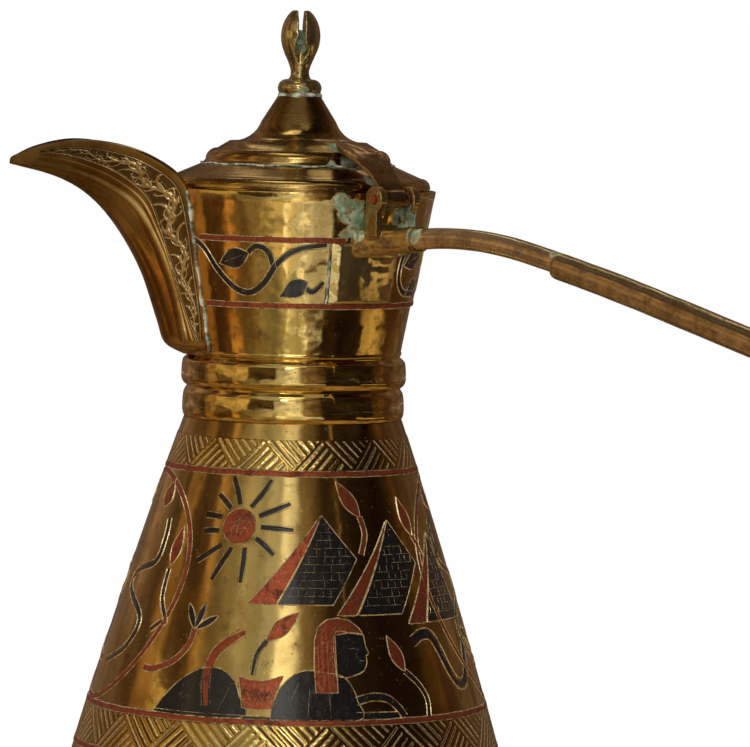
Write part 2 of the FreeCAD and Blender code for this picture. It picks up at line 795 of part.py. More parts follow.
def sun_disc():
    centre = V(0, 0, field_z(sun_rise))
    face = Part.Face(Part.Wire([Part.Circle(centre, V(1, 0, 0), sun_radius).toShape()]))
    return Part.makeCompound(inlays(front_azimuth + sun_azimuth, [face]))


def sun_rays():
    faces = []
    base = field_z(sun_rise)
    near = sun_radius + sun_ray_gap
    for i in range(sun_ray_count):
        far = near + (sun_ray_long if i % 2 == 0 else sun_ray_short)
        ray = outline((-sun_ray_width / 2, near), [(sun_ray_width / 2, near), (0, far)], flat)
        ray.translate(V(0, 0, base))
        ray.rotate(V(0, 0, base), V(1, 0, 0), 360 * i / sun_ray_count)
        faces.append(ray)
    return Part.makeCompound(inlays(front_azimuth + sun_azimuth, faces))


def pyramid_faces(shaded):
    plates = []
    for places in pyramid_places:
        apex, left, split, right, corner = ((degrees, field_z(share)) for degrees, share in places)
        view = split[0]
        seam = math.degrees(pyramid_seam / belly_r(apex[1]))
        if shaded:
            points = [apex, (split[0] + seam, split[1]), right]
            points += [corner] if corner != right else []
        else:
            points = [(apex[0] - seam, apex[1]), left, (split[0] - seam, split[1])]
        corners = [seen_from(view, degrees, z) for degrees, z in points]
        plates += inlays(front_azimuth + view, [outline(corners[0], corners[1:], flat)])
    return Part.makeCompound(plates)


def medallion_frame():
    low, high = field_z(medallion_low), field_z(medallion_high)
    centre = V(0, 0, (low + high) / 2)
    tall = (high - low) / 2
    outer = Part.Face(Part.Wire([oval(centre, tall, medallion_half_width)]))
    inner = Part.Face(Part.Wire([oval(centre, tall - medallion_line, medallion_half_width - medallion_line)]))
    return Part.makeCompound(inlays(180, [outer.cut(inner).Faces[0]]))


def oval(centre, tall, wide):
    major = centre + V(0, 0, tall)
    minor = centre + V(0, wide, 0)
    return Part.Ellipse(major, minor, centre).toShape()


def lotus_line(first, last):
    """View azimuth at the bud's foot and two places of each lotus seen from it."""
    lines = []
    for places in lotus_places:
        view = places[1][0]
        ends = []
        for degrees, share in (places[first], places[last]):
            ends.append(section(*seen_from(view, degrees, field_z(share))))
        lines.append((view, *ends))
    return lines


def lotus_buds():
    plates = []
    for view, a, b in lotus_line(0, 1):
        along = b - a
        side = section(-along.z, along.x) * bud_width
        left, right = a + along * bud_widest + side, a + along * bud_widest - side
        steps = [((left.x, left.z), (b.x, b.z)), ((right.x, right.z), (a.x, a.z))]
        plates += inlays(front_azimuth + view, [outline((a.x, a.z), steps, flat)])
    return Part.makeCompound(plates)


def lotus_stems():
    plates = []
    for view, a, b in lotus_line(1, 2):
        along = (b - a).normalize()
        side = section(-along.z, along.x) * (stem_width / 2)
        a = a + along * stem_width
        corners = [a + side, b + side * stem_taper, b - side * stem_taper, a - side]
        places = [(corner.x, corner.z) for corner in corners]
        plates += inlays(front_azimuth + view, [outline(places[0], places[1:], flat)])
    return Part.makeCompound(plates)


pieces = {
    "foot_ring": foot_ring(),
    "bottom_bowl": bottom_bowl(),
    "belly_shell": belly_shell(),
    "waist_collar": waist_collar(),
    "neck_shell": neck_shell(),
    "spout": spout(),
    "handle_plate": handle_plate(),
    "handle_bracket": handle_bracket(),
    "handle_rod": handle_rod(),
    "handle_sleeve": handle_sleeve(),
    "handle_end_cap": handle_end_cap(),
    "hinge_pin": hinge_pin(),
    "neck_line_upper": neck_line_upper(),
    "neck_line_lower": neck_line_lower(),
    "shoulder_line": belly_line(shoulder_line_z),
    "belly_line_upper": belly_line(upper_line_z),
    "belly_line_lower": belly_line(lower_line_z),
    "sun_disc": sun_disc(),
    "sun_rays": sun_rays(),
    "pyramid_bright_faces": pyramid_faces(False),
    "pyramid_shade_faces": pyramid_faces(True),
    "medallion_frame": medallion_frame(),
    "lotus_buds": lotus_buds(),
    "lotus_stems": lotus_stems(),
    "lid_brim": lid_brim(),
    "lid_dome": lid_dome(),
    "lid_skirt": lid_skirt(),
    "finial": finial(),
    "hinge_strap": hinge_strap(),
}
os.makedirs("parts", exist_ok=True)
for name, shape in pieces.items():
    print(name, len(shape.Solids), "solids, valid", shape.isValid(), "volume", round(shape.Volume, 2))
    shape.exportStep(f"parts/{name}.step")
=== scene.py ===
import math
import random
import bmesh
import bpy
from mathutils import Matrix, Vector, noise


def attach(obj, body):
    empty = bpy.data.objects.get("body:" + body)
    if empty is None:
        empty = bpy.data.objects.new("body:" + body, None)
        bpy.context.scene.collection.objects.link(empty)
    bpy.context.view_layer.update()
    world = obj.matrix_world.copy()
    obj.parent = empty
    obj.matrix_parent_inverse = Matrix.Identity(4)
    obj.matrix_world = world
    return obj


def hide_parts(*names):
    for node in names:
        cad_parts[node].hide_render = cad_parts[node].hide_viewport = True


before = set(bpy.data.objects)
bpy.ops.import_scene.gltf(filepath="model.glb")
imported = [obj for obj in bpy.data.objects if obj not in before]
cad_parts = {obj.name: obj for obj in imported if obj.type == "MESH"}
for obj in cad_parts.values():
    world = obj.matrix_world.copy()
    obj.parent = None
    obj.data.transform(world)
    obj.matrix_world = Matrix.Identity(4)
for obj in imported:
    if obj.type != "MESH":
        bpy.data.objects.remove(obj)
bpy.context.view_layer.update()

mm = 0.001
rng = random.Random(7)
weld = {"turned": 1e-6, "cast": 2e-6, "drawn": 1e-7}      # vertices nearer than this, in metres, become one
print("frame loaded:", len(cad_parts), "nodes")

# the pot's turned shape, in millimetres: radius and height
belly = {"seamZ": 26.0, "topZ": 131.2, "seamR": 62.2, "topR": 29.5, "bulge": 0.9, "wall": 1.0,
         "sleeveR": 28.0, "sleeveZ": 139.7, "bore": 27.0, "joggle": 3.0}
neck = {"footZ": 148.2, "footR": 28.6, "stepZ": 162.2, "step": 0.4, "rimZ": 193.2, "rimR": 37.4, "wall": 1.0,
        "lip": 3.4, "lipDepth": 1.2, "rimSoft": ((0.02, 0.4), (0.12, 0.1), (0.35, 0.0))}
front = -102.0                                            # azimuth that faces the camera
toCamera = Vector((math.cos(math.radians(front)), math.sin(math.radians(front)), 0))
toRight = Vector((-toCamera.y, toCamera.x, 0))


def bellyArc():                                           # radius and centre of the belly's long curve
    run, rise = belly["topR"] - belly["seamR"], belly["topZ"] - belly["seamZ"]
    chord = math.hypot(run, rise)
    radius = (chord ** 2 / 4 + belly["bulge"] ** 2) / (2 * belly["bulge"])
    inward = radius - belly["bulge"]
    centreR = (belly["seamR"] + belly["topR"]) / 2 - inward * rise / chord
    centreZ = (belly["seamZ"] + belly["topZ"]) / 2 + inward * run / chord
    return radius, centreR, centreZ


def bellyR(z):
    radius, centreR, centreZ = bellyArc()
    return centreR + math.sqrt(radius ** 2 - (z - centreZ) ** 2)


def neckR(z):
    rise = neck["rimZ"] - neck["footZ"]
    slope = (neck["rimR"] - neck["footR"] - neck["step"]) / rise
    plain = neck["footR"] + slope * (z - neck["footZ"])
    return plain if z < neck["stepZ"] else plain + neck["step"]


def turned(azimuth, r, z):
    a = math.radians(azimuth)
    return Vector((r * math.cos(a), r * math.sin(a), z)) * mm


def between(a, b, share):
    return a + (b - a) * share


def arcThrough(a, b, c, count):                           # points on the arc from a through b to c
    (ax, ay), (bx, by), (cx, cy) = a, b, c
    d = 2 * (ax * (by - cy) + bx * (cy - ay) + cx * (ay - by))
    ux = ((ax * ax + ay * ay) * (by - cy) + (bx * bx + by * by) * (cy - ay)
          + (cx * cx + cy * cy) * (ay - by)) / d
    uy = ((ax * ax + ay * ay) * (cx - bx) + (bx * bx + by * by) * (ax - cx)
          + (cx * cx + cy * cy) * (bx - ax)) / d
    radius = math.hypot(ax - ux, ay - uy)
    first, middle, last = (math.atan2(y - uy, x - ux) for x, y in (a, b, c))
    sweep, toMiddle = (last - first) % math.tau, (middle - first) % math.tau
    if toMiddle > sweep:
        sweep -= math.tau
    angles = [first + sweep * i / count for i in range(count + 1)]
    return [(ux + radius * math.cos(t), uy + radius * math.sin(t)) for t in angles]


# corners: radius taken as the axis, side too short to cut, angle taken as straight, most of a side cut
softening = {"axis": 0.01, "side": 1e-6, "straight": 2.75, "most": 0.4}


def softCorners(points, size, count=3):                   # each corner of a closed outline gets a small round
    rounded = []
    for i, (x, y) in enumerate(points):
        here = Vector((x, y))
        toLast, toNext = Vector(points[i - 1]) - here, Vector(points[(i + 1) % len(points)]) - here
        side = min(toLast.length, toNext.length)
        sharp = side >= softening["side"] and toLast.angle(toNext) <= softening["straight"]
        if x < softening["axis"] or not sharp:
            rounded.append((x, y))
            continue
        cut = min(size, softening["most"] * side)
        start, end = here + toLast.normalized() * cut, here + toNext.normalized() * cut
        for step in range(count + 1):
            t = step / count
            rounded.append(tuple(start * (1 - t) ** 2 + here * 2 * t * (1 - t) + end * t ** 2))
    return rounded


def smoothLine(points, count):                            # curve through the points, of any dimension
    line = []
    last = len(points) - 1
    for i in range(last):
        p = [points[max(0, min(last, i + k))] for k in (-1, 0, 1, 2)]
        for step in range(count):
            t = step / count
            line.append(tuple(0.5 * (2 * b + (c - a) * t + (2 * a - 5 * b + 4 * c - d) * t * t
                                     + (3 * b - a - 3 * c + d) * t ** 3) for a, b, c, d in zip(*p)))
    return line + [tuple(points[-1])]


def onlySelected(piece):
    bpy.ops.object.select_all(action="DESELECT")
    piece.select_set(True)
    bpy.context.view_layer.objects.active = piece


def linked(name, data):                                   # a new object in the scene
    piece = bpy.data.objects.new(name, data)
    bpy.context.scene.collection.objects.link(piece)
    return piece


def editAll(piece):
    onlySelected(piece)
    bpy.ops.object.mode_set(mode="EDIT")
    bpy.ops.mesh.select_all(action="SELECT")


def closeAndSmooth(piece, angle=32):
    editAll(piece)
    bpy.ops.mesh.remove_doubles(threshold=weld["turned"])
    bpy.ops.mesh.normals_make_consistent(inside=False)
    bpy.ops.object.mode_set(mode="OBJECT")
    bpy.ops.object.shade_smooth_by_angle(angle=math.radians(angle))


def spun(name, profile, steps=240):                       # a closed profile, turned once round the axis
    bpy.ops.object.select_all(action="DESELECT")
    bpy.ops.mesh.primitive_circle_add(vertices=len(profile), radius=0.01, fill_type="NOTHING")
    piece = bpy.context.object
    piece.name = piece.data.name = name
    piece.location = (0, 0, 0)
    for vertex, (r, z) in zip(piece.data.vertices, profile):
        vertex.co = turned(0.0, r, z)
    editAll(piece)
    bpy.ops.mesh.spin(steps=steps, angle=math.tau, center=(0, 0, 0), axis=(0, 0, 1))
    bpy.ops.object.mode_set(mode="OBJECT")
    closeAndSmooth(piece)
    if sum(face.normal.dot(face.center) * face.area for face in piece.data.polygons) < 0:
        piece.data.flip_normals()
    return piece


def made(name, mesh, angle=40):                           # object from a bmesh, in place
    data = bpy.data.meshes.new(name)
    bmesh.ops.remove_doubles(mesh, verts=mesh.verts[:], dist=weld["drawn"])
    bmesh.ops.recalc_face_normals(mesh, faces=mesh.faces[:])
    mesh.to_mesh(data)
    mesh.free()
    piece = linked(name, data)
    onlySelected(piece)
    bpy.ops.object.shade_smooth_by_angle(angle=math.radians(angle))
    return piece


def tube(mesh, loops, closed=False):                      # skin over loops, with flat ends unless it closes
    sides = len(loops[0])
    for a, b in zip(loops, loops[1:] + loops[:1] if closed else loops[1:]):
        for i in range(sides):
            k = (i + 1) % sides
            mesh.faces.new((a[i], a[k], b[k], b[i]))
    if not closed:
        mesh.faces.new(loops[0])
        mesh.faces.new(loops[-1])


def gridFaces(mesh, rows):
    for a, b in zip(rows, rows[1:]):
        for i in range(len(a) - 1):
            mesh.faces.new((a[i], a[i + 1], b[i + 1], b[i]))


def applied(piece, kind, **settings):                     # a modifier, set and applied
    modifier = piece.modifiers.new(kind, kind)
    for key, value in settings.items():
        setattr(modifier, key, value)
    onlySelected(piece)
    bpy.ops.object.modifier_apply(modifier=modifier.name)
    return piece


def placed(piece, body, slot, finish, *nodes):
    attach(piece, body)
    if nodes:
        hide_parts(*nodes)
    piece.data.materials.clear()
    piece.data.materials.append(finish)
    return piece


class Wire:                                               # a shader socket that takes part in sums
    def __init__(self, finish, socket):
        self.finish, self.socket = finish, socket

    def join(self, operation, first, second):
        return self.finish.node("ShaderNodeMath", {"operation": operation}, {0: first, 1: second})

    def __add__(self, other):
        return self.join("ADD", self, other)

    def __sub__(self, other):
        return self.join("SUBTRACT", self, other)

    def __rsub__(self, other):
        return self.join("SUBTRACT", other, self)

    def __mul__(self, other):
        return self.join("MULTIPLY", self, other)

    __radd__, __rmul__ = __add__, __mul__

    def __truediv__(self, other):
        return self.join("DIVIDE", self, other)

    def __rtruediv__(self, other):
        return self.join("DIVIDE", other, self)

    def most(self, other):
        return self.join("MAXIMUM", self, other)

    def angleFrom(self, other):
        return self.join("ARCTAN2", self, other)


class Finish:                                             # a node tree with one way to add a node
    def __init__(self, name, owner=None):
        self.owner = owner or bpy.data.materials.new(name)
        self.owner.use_nodes = True
        self.tree = self.owner.node_tree
        self.tree.nodes.clear()

    def node(self, kind, settings, inputs, output=0):
        node = self.tree.nodes.new(kind)
        for key, value in settings.items():
            if key == "stops":
                while len(node.color_ramp.elements) < len(value):
                    node.color_ramp.elements.new(0.5)
                for element, (place, colour) in zip(node.color_ramp.elements, value):
                    element.position, element.color = place, colour
            else:
                setattr(node, key, value)
        for key, value in inputs.items():
            if isinstance(value, Wire):
                self.tree.links.new(value.socket, node.inputs[key])
            else:
                node.inputs[key].default_value = value
        return Wire(self, node.outputs[output]) if node.outputs else None

    def place(self):
        return self.node("ShaderNodeTexCoord", {}, {}, "Object")

    def stretched(self, point, scale):
        return self.node("ShaderNodeVectorMath", {"operation": "MULTIPLY"}, {0: point, 1: scale})

    def measured(self, operation, *vectors):              # a number from one vector or two
        return self.node("ShaderNodeVectorMath", {"operation": operation}, dict(enumerate(vectors)), "Value")

    def cloud(self, point, scale, detail=4.0, rough=0.55):
        inputs = {"Vector": point, "Scale": scale, "Detail": detail, "Roughness": rough}
        return self.node("ShaderNodeTexNoise", {}, inputs)

    def above(self, value, low, high):                    # 0 below low, 1 above high
        settings = {"interpolation_type": "SMOOTHSTEP"}
        return self.node("ShaderNodeMapRange", settings, {0: value, 1: low, 2: high})

    def within(self, value, low, high, soft):             # 1 between low and high
        return self.above(value, low - soft, low + soft) * (1 - self.above(value, high - soft, high + soft))

    def near(self, point, spot):                          # 1 in the middle of a spot, 0 outside it
        *place, inner, outer = spot
        far = self.measured("DISTANCE", point, [c * mm for c in place])
        return 1 - self.above(far, inner * mm, outer * mm)

    def mixed(self, mask, first, second):
        return self.node("ShaderNodeMix", {"data_type": "RGBA"}, {0: mask, 6: first, 7: second}, 2)

    def times(self, first, second):
        settings = {"data_type": "RGBA", "blend_type": "MULTIPLY"}
        return self.node("ShaderNodeMix", settings, {0: 1.0, 6: first, 7: second}, 2)

    def bump(self, height, strength, distance, normal=None):
        inputs = {"Height": height, "Strength": strength, "Distance": distance * mm}
        if normal:
            inputs["Normal"] = normal
        return self.node("ShaderNodeBump", {}, inputs)

    def seen(self):                                       # 1 for rays of the camera, of mirrors and of glass
        kinds = ("Is Camera Ray", "Is Glossy Ray", "Is Transmission Ray")
        straight, mirrored, through = (self.node("ShaderNodeLightPath", {}, {}, kind) for kind in kinds)
        return straight.most(mirrored).most(through)

    def done(self, colour, rough, metallic, normal, **more):
        inputs = {"Base Color": colour, "Roughness": rough, "Metallic": metallic, "Normal": normal, **more}
        shader = self.node("ShaderNodeBsdfPrincipled", {}, inputs)
        self.node("ShaderNodeOutputMaterial", {}, {"Surface": shader})
        return self.owner


# brass: colours of clean metal, of tarnish and of grime; sizes of patches per metre
bellyBrass = {"clean": (0.67, 0.485, 0.18, 1), "tarnish": (0.46, 0.28, 0.085, 1),
              "grime": (0.06, 0.03, 0.01, 1), "rough": 0.09, "roughMore": 0.12, "patches": 45,
              "tarnishFrom": 0.46, "pits": 0.66, "lines": 0.03, "wave": 0.30, "dents": 0.18}
neckBrass = {"clean": (0.74, 0.53, 0.19, 1), "tarnish": (0.50, 0.31, 0.10, 1),
             "grime": (0.07, 0.035, 0.012, 1), "rough": 0.06, "roughMore": 0.12, "patches": 60,
             "tarnishFrom": 0.48, "pits": 0.67, "lines": 0.03, "wave": 0.50, "dents": 0.30}
lidBrass = {"clean": (0.60, 0.42, 0.15, 1), "tarnish": (0.40, 0.24, 0.075, 1),
            "grime": (0.05, 0.026, 0.01, 1), "rough": 0.13, "roughMore": 0.13, "patches": 70,
            "tarnishFrom": 0.42, "pits": 0.64, "lines": 0.16, "wave": 0.26, "dents": 0.16}
castBrass = {"clean": (0.52, 0.335, 0.125, 1), "tarnish": (0.33, 0.18, 0.06, 1),
             "grime": (0.05, 0.025, 0.01, 1), "rough": 0.13, "roughMore": 0.16, "patches": 90,
             "tarnishFrom": 0.42, "pits": 0.63, "lines": 0.0, "wave": 0.28, "dents": 0.16}
# the rod's brass is lighter than the cast brass: a painted highlight for its bright top
rodBrass = {**castBrass, "clean": (0.80, 0.64, 0.37, 1), "tarnish": (0.54, 0.39, 0.19, 1), "rough": 0.13,
            "tarnishFrom": 0.46, "wave": 0.5, "dents": 0.3, "metal": 0.96}
sleeveBrass = {**rodBrass, "clean": (0.62, 0.47, 0.25, 1), "tarnish": (0.40, 0.28, 0.13, 1)}
bracketBrass = {**castBrass, "clean": (0.66, 0.50, 0.21, 1), "tarnish": (0.42, 0.28, 0.10, 1),
                "rough": 0.09, "roughMore": 0.10, "wave": 0.8, "dents": 0.4, "pits": 0.62, "metal": 0.95}
finialBrass = {**castBrass, "clean": (0.58, 0.45, 0.22, 1), "tarnish": (0.33, 0.22, 0.09, 1), "rough": 0.11,
               "roughMore": 0.12, "wave": 0.5, "dents": 0.3, "pits": 0.61, "metal": 0.95}
plateBrass = {**neckBrass, "clean": (0.74, 0.58, 0.26, 1), "tarnish": (0.46, 0.33, 0.12, 1), "rough": 0.08,
              "wave": 1.3, "metal": 0.96}
strapBrass = {**castBrass, "clean": (0.46, 0.27, 0.11, 1), "tarnish": (0.27, 0.14, 0.055, 1), "rough": 0.12,
              "roughMore": 0.10, "wave": 0.8, "dents": 0.4, "pits": 0.62, "metal": 0.96}
greenTones = {"pale": (0.29, 0.38, 0.27, 1), "deep": (0.06, 0.16, 0.10, 1), "brown": (0.14, 0.08, 0.03, 1)}
# verdigris, and painted shade on the spout's tip and the lid's cone: place, radius where it is full and
# radius where it ends, in millimetres
crusts = {
    "neck": ((4.2, -36.2, 191, 1, 4.5), (7.4, -35.8, 188, 2, 6.5), (9.6, -35, 184, 2, 6),
             (6, -35.4, 182, 0, 4), (-31, -16.5, 150, 0, 4), (24, -28, 188, 3, 8.5)),
    "lid": ((7.6, -19.4, 205, 1, 7.5), (10, -23.4, 201.5, 1, 7), (14, -31, 197, 1, 5.5), (4, -25, 200, 0, 3)),
    "bracket": ((15, -37, 186, 0.5, 4.5), (20, -35, 190, 2, 6.5), (22, -37.5, 185, 1.5, 6.5),
                (9, -36, 182, 0, 4), (21, -50.5, 183, 0.5, 4.5)),
    "strap": ((8.2, -18, 207, 0, 4), (12.6, -28, 201.5, 0, 3)),
    "rod": ((21, -50.5, 183, 0.5, 4.5), (46, -101, 180, 0, 3.6), (47.5, -102, 175.5, 0, 3.6)),
    "finial": ((-0.6, -2.6, 232, 1.2, 3.6), (-0.4, -2.2, 235, 0.4, 2.6), (0, -5.5, 219.5, 0, 3)),
}
# painted shade that darkens the spout's tip
soot = ((-76, 0, 199, 8, 46), (-62, -8, 196, 2, 22))
# painted shade on the top of the lid's cone
conePaintedShade = ((0, 0, 215, 4, 14), (0, 0, 213, 4, 15))
# noise of the brass: spots per metre, detail, roughness; the rings of the lathe are stretched noise
grain = {"speck": (1100, 3.0, 0.6), "blot": (210, 6.0, 0.7), "fine": (2600, 2.0, 0.5),
         "wave": (38, 2.0, 0.5), "dent": (120, 2.0, 0.5), "ring": (1.0, 3.0, 0.6),
         "edge": (330, 6.0, 0.7), "green": (360, 5.0), "brown": (620, 5.0)}
latheRings = (30, 30, 2400)
# strengths of the brass's tarnish, stains, pits and verdigris, and of the painted shade
wearAndShade = {"tarnishSoft": 0.22, "pitSoft": 0.08, "stainFrom": 0.55, "stainFull": 0.72,
        "stain": 0.55, "pit": 0.8, "soot": 0.40, "crust": 0.9}


def brass(name, look, spots=(), dark=()):
    finish = Finish(name)
    point = finish.place()
    patch = finish.cloud(point, look["patches"], 8.0, 0.66)
    kinds = ("speck", "blot", "fine", "wave", "dent")
    speck, blot, fine, wave, dent = (finish.cloud(point, *grain[kind]) for kind in kinds)
    ring = finish.cloud(finish.stretched(point, latheRings), *grain["ring"])
    dull = finish.above(patch, look["tarnishFrom"], look["tarnishFrom"] + wearAndShade["tarnishSoft"])
    pit = finish.above(speck, look["pits"], look["pits"] + wearAndShade["pitSoft"])
    stain = finish.above(blot, wearAndShade["stainFrom"], wearAndShade["stainFull"])
    colour = finish.mixed(dull, look["clean"], look["tarnish"])
    colour = finish.mixed(stain * wearAndShade["stain"], colour, look["grime"])
    colour = finish.mixed(pit * wearAndShade["pit"], colour, look["grime"])
    rough = dull * look["roughMore"] + pit * 0.2 + stain * 0.16 + (fine - 0.5) * 0.08
    rough = rough + (ring - 0.5) * (2 * look["lines"]) + look["rough"]
    for spot in dark:                                     # painted shade: darker round each spot
        shadeMask = finish.near(point, spot)
        colour = finish.mixed(shadeMask * wearAndShade["soot"], colour, look["grime"])
        rough = rough + shadeMask * 0.08
    metallic = look.get("metal", 1.0) - pit * 0.25
    normal = finish.bump(wave + dent * look["dents"], look["wave"], 2.0)
    normal = finish.bump(ring * (1.2 * look["lines"]) + fine * 0.03 - pit * 0.3, 0.5, 0.12, normal)
    if spots:                                             # verdigris
        crust = finish.near(point, spots[0])
        for spot in spots[1:]:
            crust = crust.most(finish.near(point, spot))
        edge = finish.cloud(point, *grain["edge"])
        crust = finish.above(crust * 0.62 + edge * 0.9, 0.72, 0.98)
        green = finish.above(finish.cloud(point, *grain["green"]), 0.40, 0.60)
        brown = finish.above(finish.cloud(point, *grain["brown"]), 0.50, 0.60)
        tone = finish.mixed(green, greenTones["pale"], greenTones["deep"])
        tone = finish.mixed(brown, tone, greenTones["brown"])
        colour = finish.mixed(crust * wearAndShade["crust"], colour, tone)
        rough = rough + crust * 0.45
        metallic = metallic - crust * 0.8
        normal = finish.bump(crust * edge, 0.5, 0.2, normal)
    return finish.done(colour, rough, metallic, normal)


def burrBrass(name, tone, dark):                          # raised edges, scraped dull and pale
    finish = Finish(name)
    point = finish.place()
    worn = finish.above(finish.cloud(point, 500, 4.0, 0.6), 0.46, 0.66)
    fine = finish.cloud(point, 2400, 2.0, 0.6)
    colour = finish.mixed(worn, tone, dark)
    return finish.done(colour, (fine - 0.5) * 0.3 + 0.24, 0.80 + worn * 0.15, finish.bump(fine, 0.4, 0.1))


# carved metal: ground colour low down, crest colour high up; soft and dull make either less of a metal
def reliefBrass(name, look, ground, crest, low, high, soft=0.0, dull=0.0, dark=()):
    finish = Finish(name)
    point = finish.place()
    depth = finish.node("ShaderNodeAttribute", {"attribute_name": "relief"}, {}, "Fac")
    patch = finish.above(finish.cloud(point, look["patches"], 6.0, 0.6), 0.42, 0.64)
    fine = finish.cloud(point, 1500, 3.0, 0.6)
    # worn marks the high relief; on the carving its lighter crest colour is partly a painted highlight
    worn = finish.above(depth + (fine - 0.5) * 0.3, low, high)
    colour = finish.mixed(patch, look["clean"], look["tarnish"])
    plain = finish.above(depth, 1.1, 1.7)
    carved = finish.mixed(worn, ground, finish.mixed(patch * 0.6, crest, colour))
    colour = finish.mixed(plain, carved, colour)
    # painted shade: darker round each spot
    for spot in dark:
        colour = finish.mixed(finish.near(point, spot) * wearAndShade["soot"], colour, look["grime"])
    rough = patch * 0.12 - worn * 0.10 + look["rough"] + 0.06
    metallic = 1 - (1 - worn) * soft - worn * (1 - plain) * dull
    return finish.done(colour, rough, metallic, finish.bump(fine, 0.25, 0.1))


def copper(name, tone, dark, rubbed, rough):
    finish = Finish(name)
    point = finish.place()
    beat = finish.cloud(point, 900, 3.0, 0.6)
    stain = finish.above(finish.cloud(point, 300, 6.0, 0.7), 0.46, 0.66)
    rub = finish.above(finish.cloud(point, 1300, 3.0, 0.6), 0.60, 0.72)
    colour = finish.mixed(stain, tone, dark)
    colour = finish.mixed(rub * 0.4, colour, rubbed)
    normal = finish.bump(beat, 0.85, 0.3)
    return finish.done(colour, stain * 0.2 + (beat - 0.5) * 0.3 + rough, 0.82 - stain * 0.2, normal)


def blackFill(name, tone, rubbed, shine):
    finish = Finish(name)
    point = finish.place()
    fine = finish.cloud(point, 1100, 4.0, 0.65)
    dent = finish.cloud(point, 260, 2.0, 0.5)
    rub = finish.above(finish.cloud(point, 520, 6.0, 0.75), 0.58, 0.70)
    colour = finish.mixed(rub * 0.7, tone, rubbed)
    normal = finish.bump(fine, 0.6, 0.25, finish.bump(dent, 0.75, 0.9))
    return finish.done(colour, (fine - 0.5) * 0.3 + 0.25, rub * 0.5, normal, **shine)


def solder(name, pale, deep, earth):
    finish = Finish(name)
    point = finish.place()
    lump = finish.cloud(point, 600, 5.0, 0.65)
    green = finish.above(finish.cloud(point, 230, 4.0, 0.6), 0.44, 0.60)
    brown = finish.above(finish.cloud(point, 420, 5.0, 0.65), 0.47, 0.58)
    colour = finish.mixed(green, pale, deep)
    colour = finish.mixed(brown * 0.9, colour, earth)
    normal = finish.bump(lump, 0.9, 0.4)
    return finish.done(colour, (lump - 0.5) * 0.4 + 0.55, 0.25, normal)


# the carving's pale crest colour on the raised scroll is partly a painted highlight in place of glints; its
# dark spots are painted shade towards the spout's tip
carvedLook = {"ground": (0.23, 0.16, 0.075, 1), "crest": (0.82, 0.64, 0.33, 1), "low": 0.10, "high": 0.9,
              "dull": 0.06, "dark": soot}
weaveLook = {"ground": (0.95, 0.82, 0.50, 1), "crest": (0.54, 0.37, 0.11, 1), "low": 0.2, "high": 0.75,
             "soft": 0.4}
burrLook = {"tone": (0.92, 0.78, 0.46, 1), "dark": (0.60, 0.42, 0.17, 1)}
copperLook = {"tone": (0.36, 0.080, 0.035, 1), "dark": (0.12, 0.028, 0.014, 1),
              "rubbed": (0.66, 0.36, 0.16, 1), "rough": 0.30}
blackLook = {"tone": (0.007, 0.006, 0.006, 1), "rubbed": (0.12, 0.08, 0.04, 1),
             "shine": {"Specular IOR Level": 0.22, "Coat Weight": 0.8, "Coat Roughness": 0.05}}
solderLook = {"pale": (0.50, 0.52, 0.41, 1), "deep": (0.14, 0.21, 0.155, 1), "earth": (0.10, 0.065, 0.03, 1)}
finishes = {
    "belly": brass("belly brass", bellyBrass),
    "neck": brass("neck brass", neckBrass, crusts["neck"]),
    "ribs": brass("rib brass", {**neckBrass, "tarnishFrom": 0.54}),
    "lid": brass("lid brass", lidBrass, crusts["lid"]),
    # the lid's cone, with painted shade at its top
    "dome": brass("dome brass", lidBrass, crusts["lid"], conePaintedShade),
    # the spout, darkened at its tip by painted shade
    "cast": brass("cast brass", castBrass, (), soot),
    "rod": brass("rod brass", rodBrass, crusts["rod"]),
    "finial": brass("finial brass", finialBrass, crusts["finial"]),
    "sleeve": brass("sleeve brass", sleeveBrass, crusts["rod"]),
    "plate": brass("plate brass", plateBrass),
    "bracket": brass("bracket brass", bracketBrass, crusts["bracket"]),
    "strap": brass("strap brass", strapBrass, crusts["strap"]),
    "rim": burrBrass("bright burr", **burrLook),
    "copper": copper("copper inlay", **copperLook),
    "black": blackFill("black inlay", **blackLook),
    "solder": solder("solder and verdigris", **solderLook),
    "carving": reliefBrass("carved brass", castBrass, **carvedLook),
    "weave": reliefBrass("bright cut brass", bellyBrass, **weaveLook),
}
print("finishes ready:", len(finishes))


# turned bodies
bowl = {"floorR": 50.0, "floorZ": 6.0, "wall": 1.0, "lap": 4.0, "lapGap": 0.05}
foot = {"r": 51.0, "width": 5.0, "flare": 1.5, "hollow": 0.25, "height": 6.0}
waist = {"bore": 28.05, "lowR": 30.0, "highR": 30.4, "grooveR": 28.8, "nip": 0.3,
         "roll": 0.30, "rollHeight": 1.5, "rollStart": 0.1, "rollSink": 0.02, "rollDepth": 0.3}
window = {"r": 10.0, "reach": 35.0, "z": 175.2, "depth": 40.0, "raise": 12.0}
lid = {"restZ": 193.55, "brimR": 35.8, "brimEdge": 2.9, "brimCorner": 2.4, "drumZ": 199.65, "drumR": 26.0,
       "overlap": 3.0, "drumTopR": 25.0, "drumTopZ": 203.85, "shoulder": 3.2, "inner": 1.5, "coneR": 18.5,
       "coneZ": 205.85, "sweep": 1.25, "coneFootR": 10.1, "coneFootZ": 211.2, "topZ": 218.15, "topR": 6.1,
       "sheet": 0.9, "hole": 2.05, "skirtR": 33.6, "skirtDepth": 4.4, "gap": 0.05, "edgeSoft": 0.15,
       "topSoft": 0.6, "sweepWall": 0.7, "footWall": 1.26, "skirtSoft": 0.2}
# a rib from below, by shares of its height: way out to the crest, fall from the crest, way back in
rib = {"bead": ((0.0, 0.0), (0.07, 0.50), (0.15, 0.80)),
       "face": ((0.25, 0.04), (0.36, 0.0), (0.55, 0.05), (0.72, 0.19), (0.84, 0.42)),
       "back": ((0.93, 0.55), (1.0, 1.0))}
# how far the middle of a quarter round lies inside its corner
arcShare = 0.29


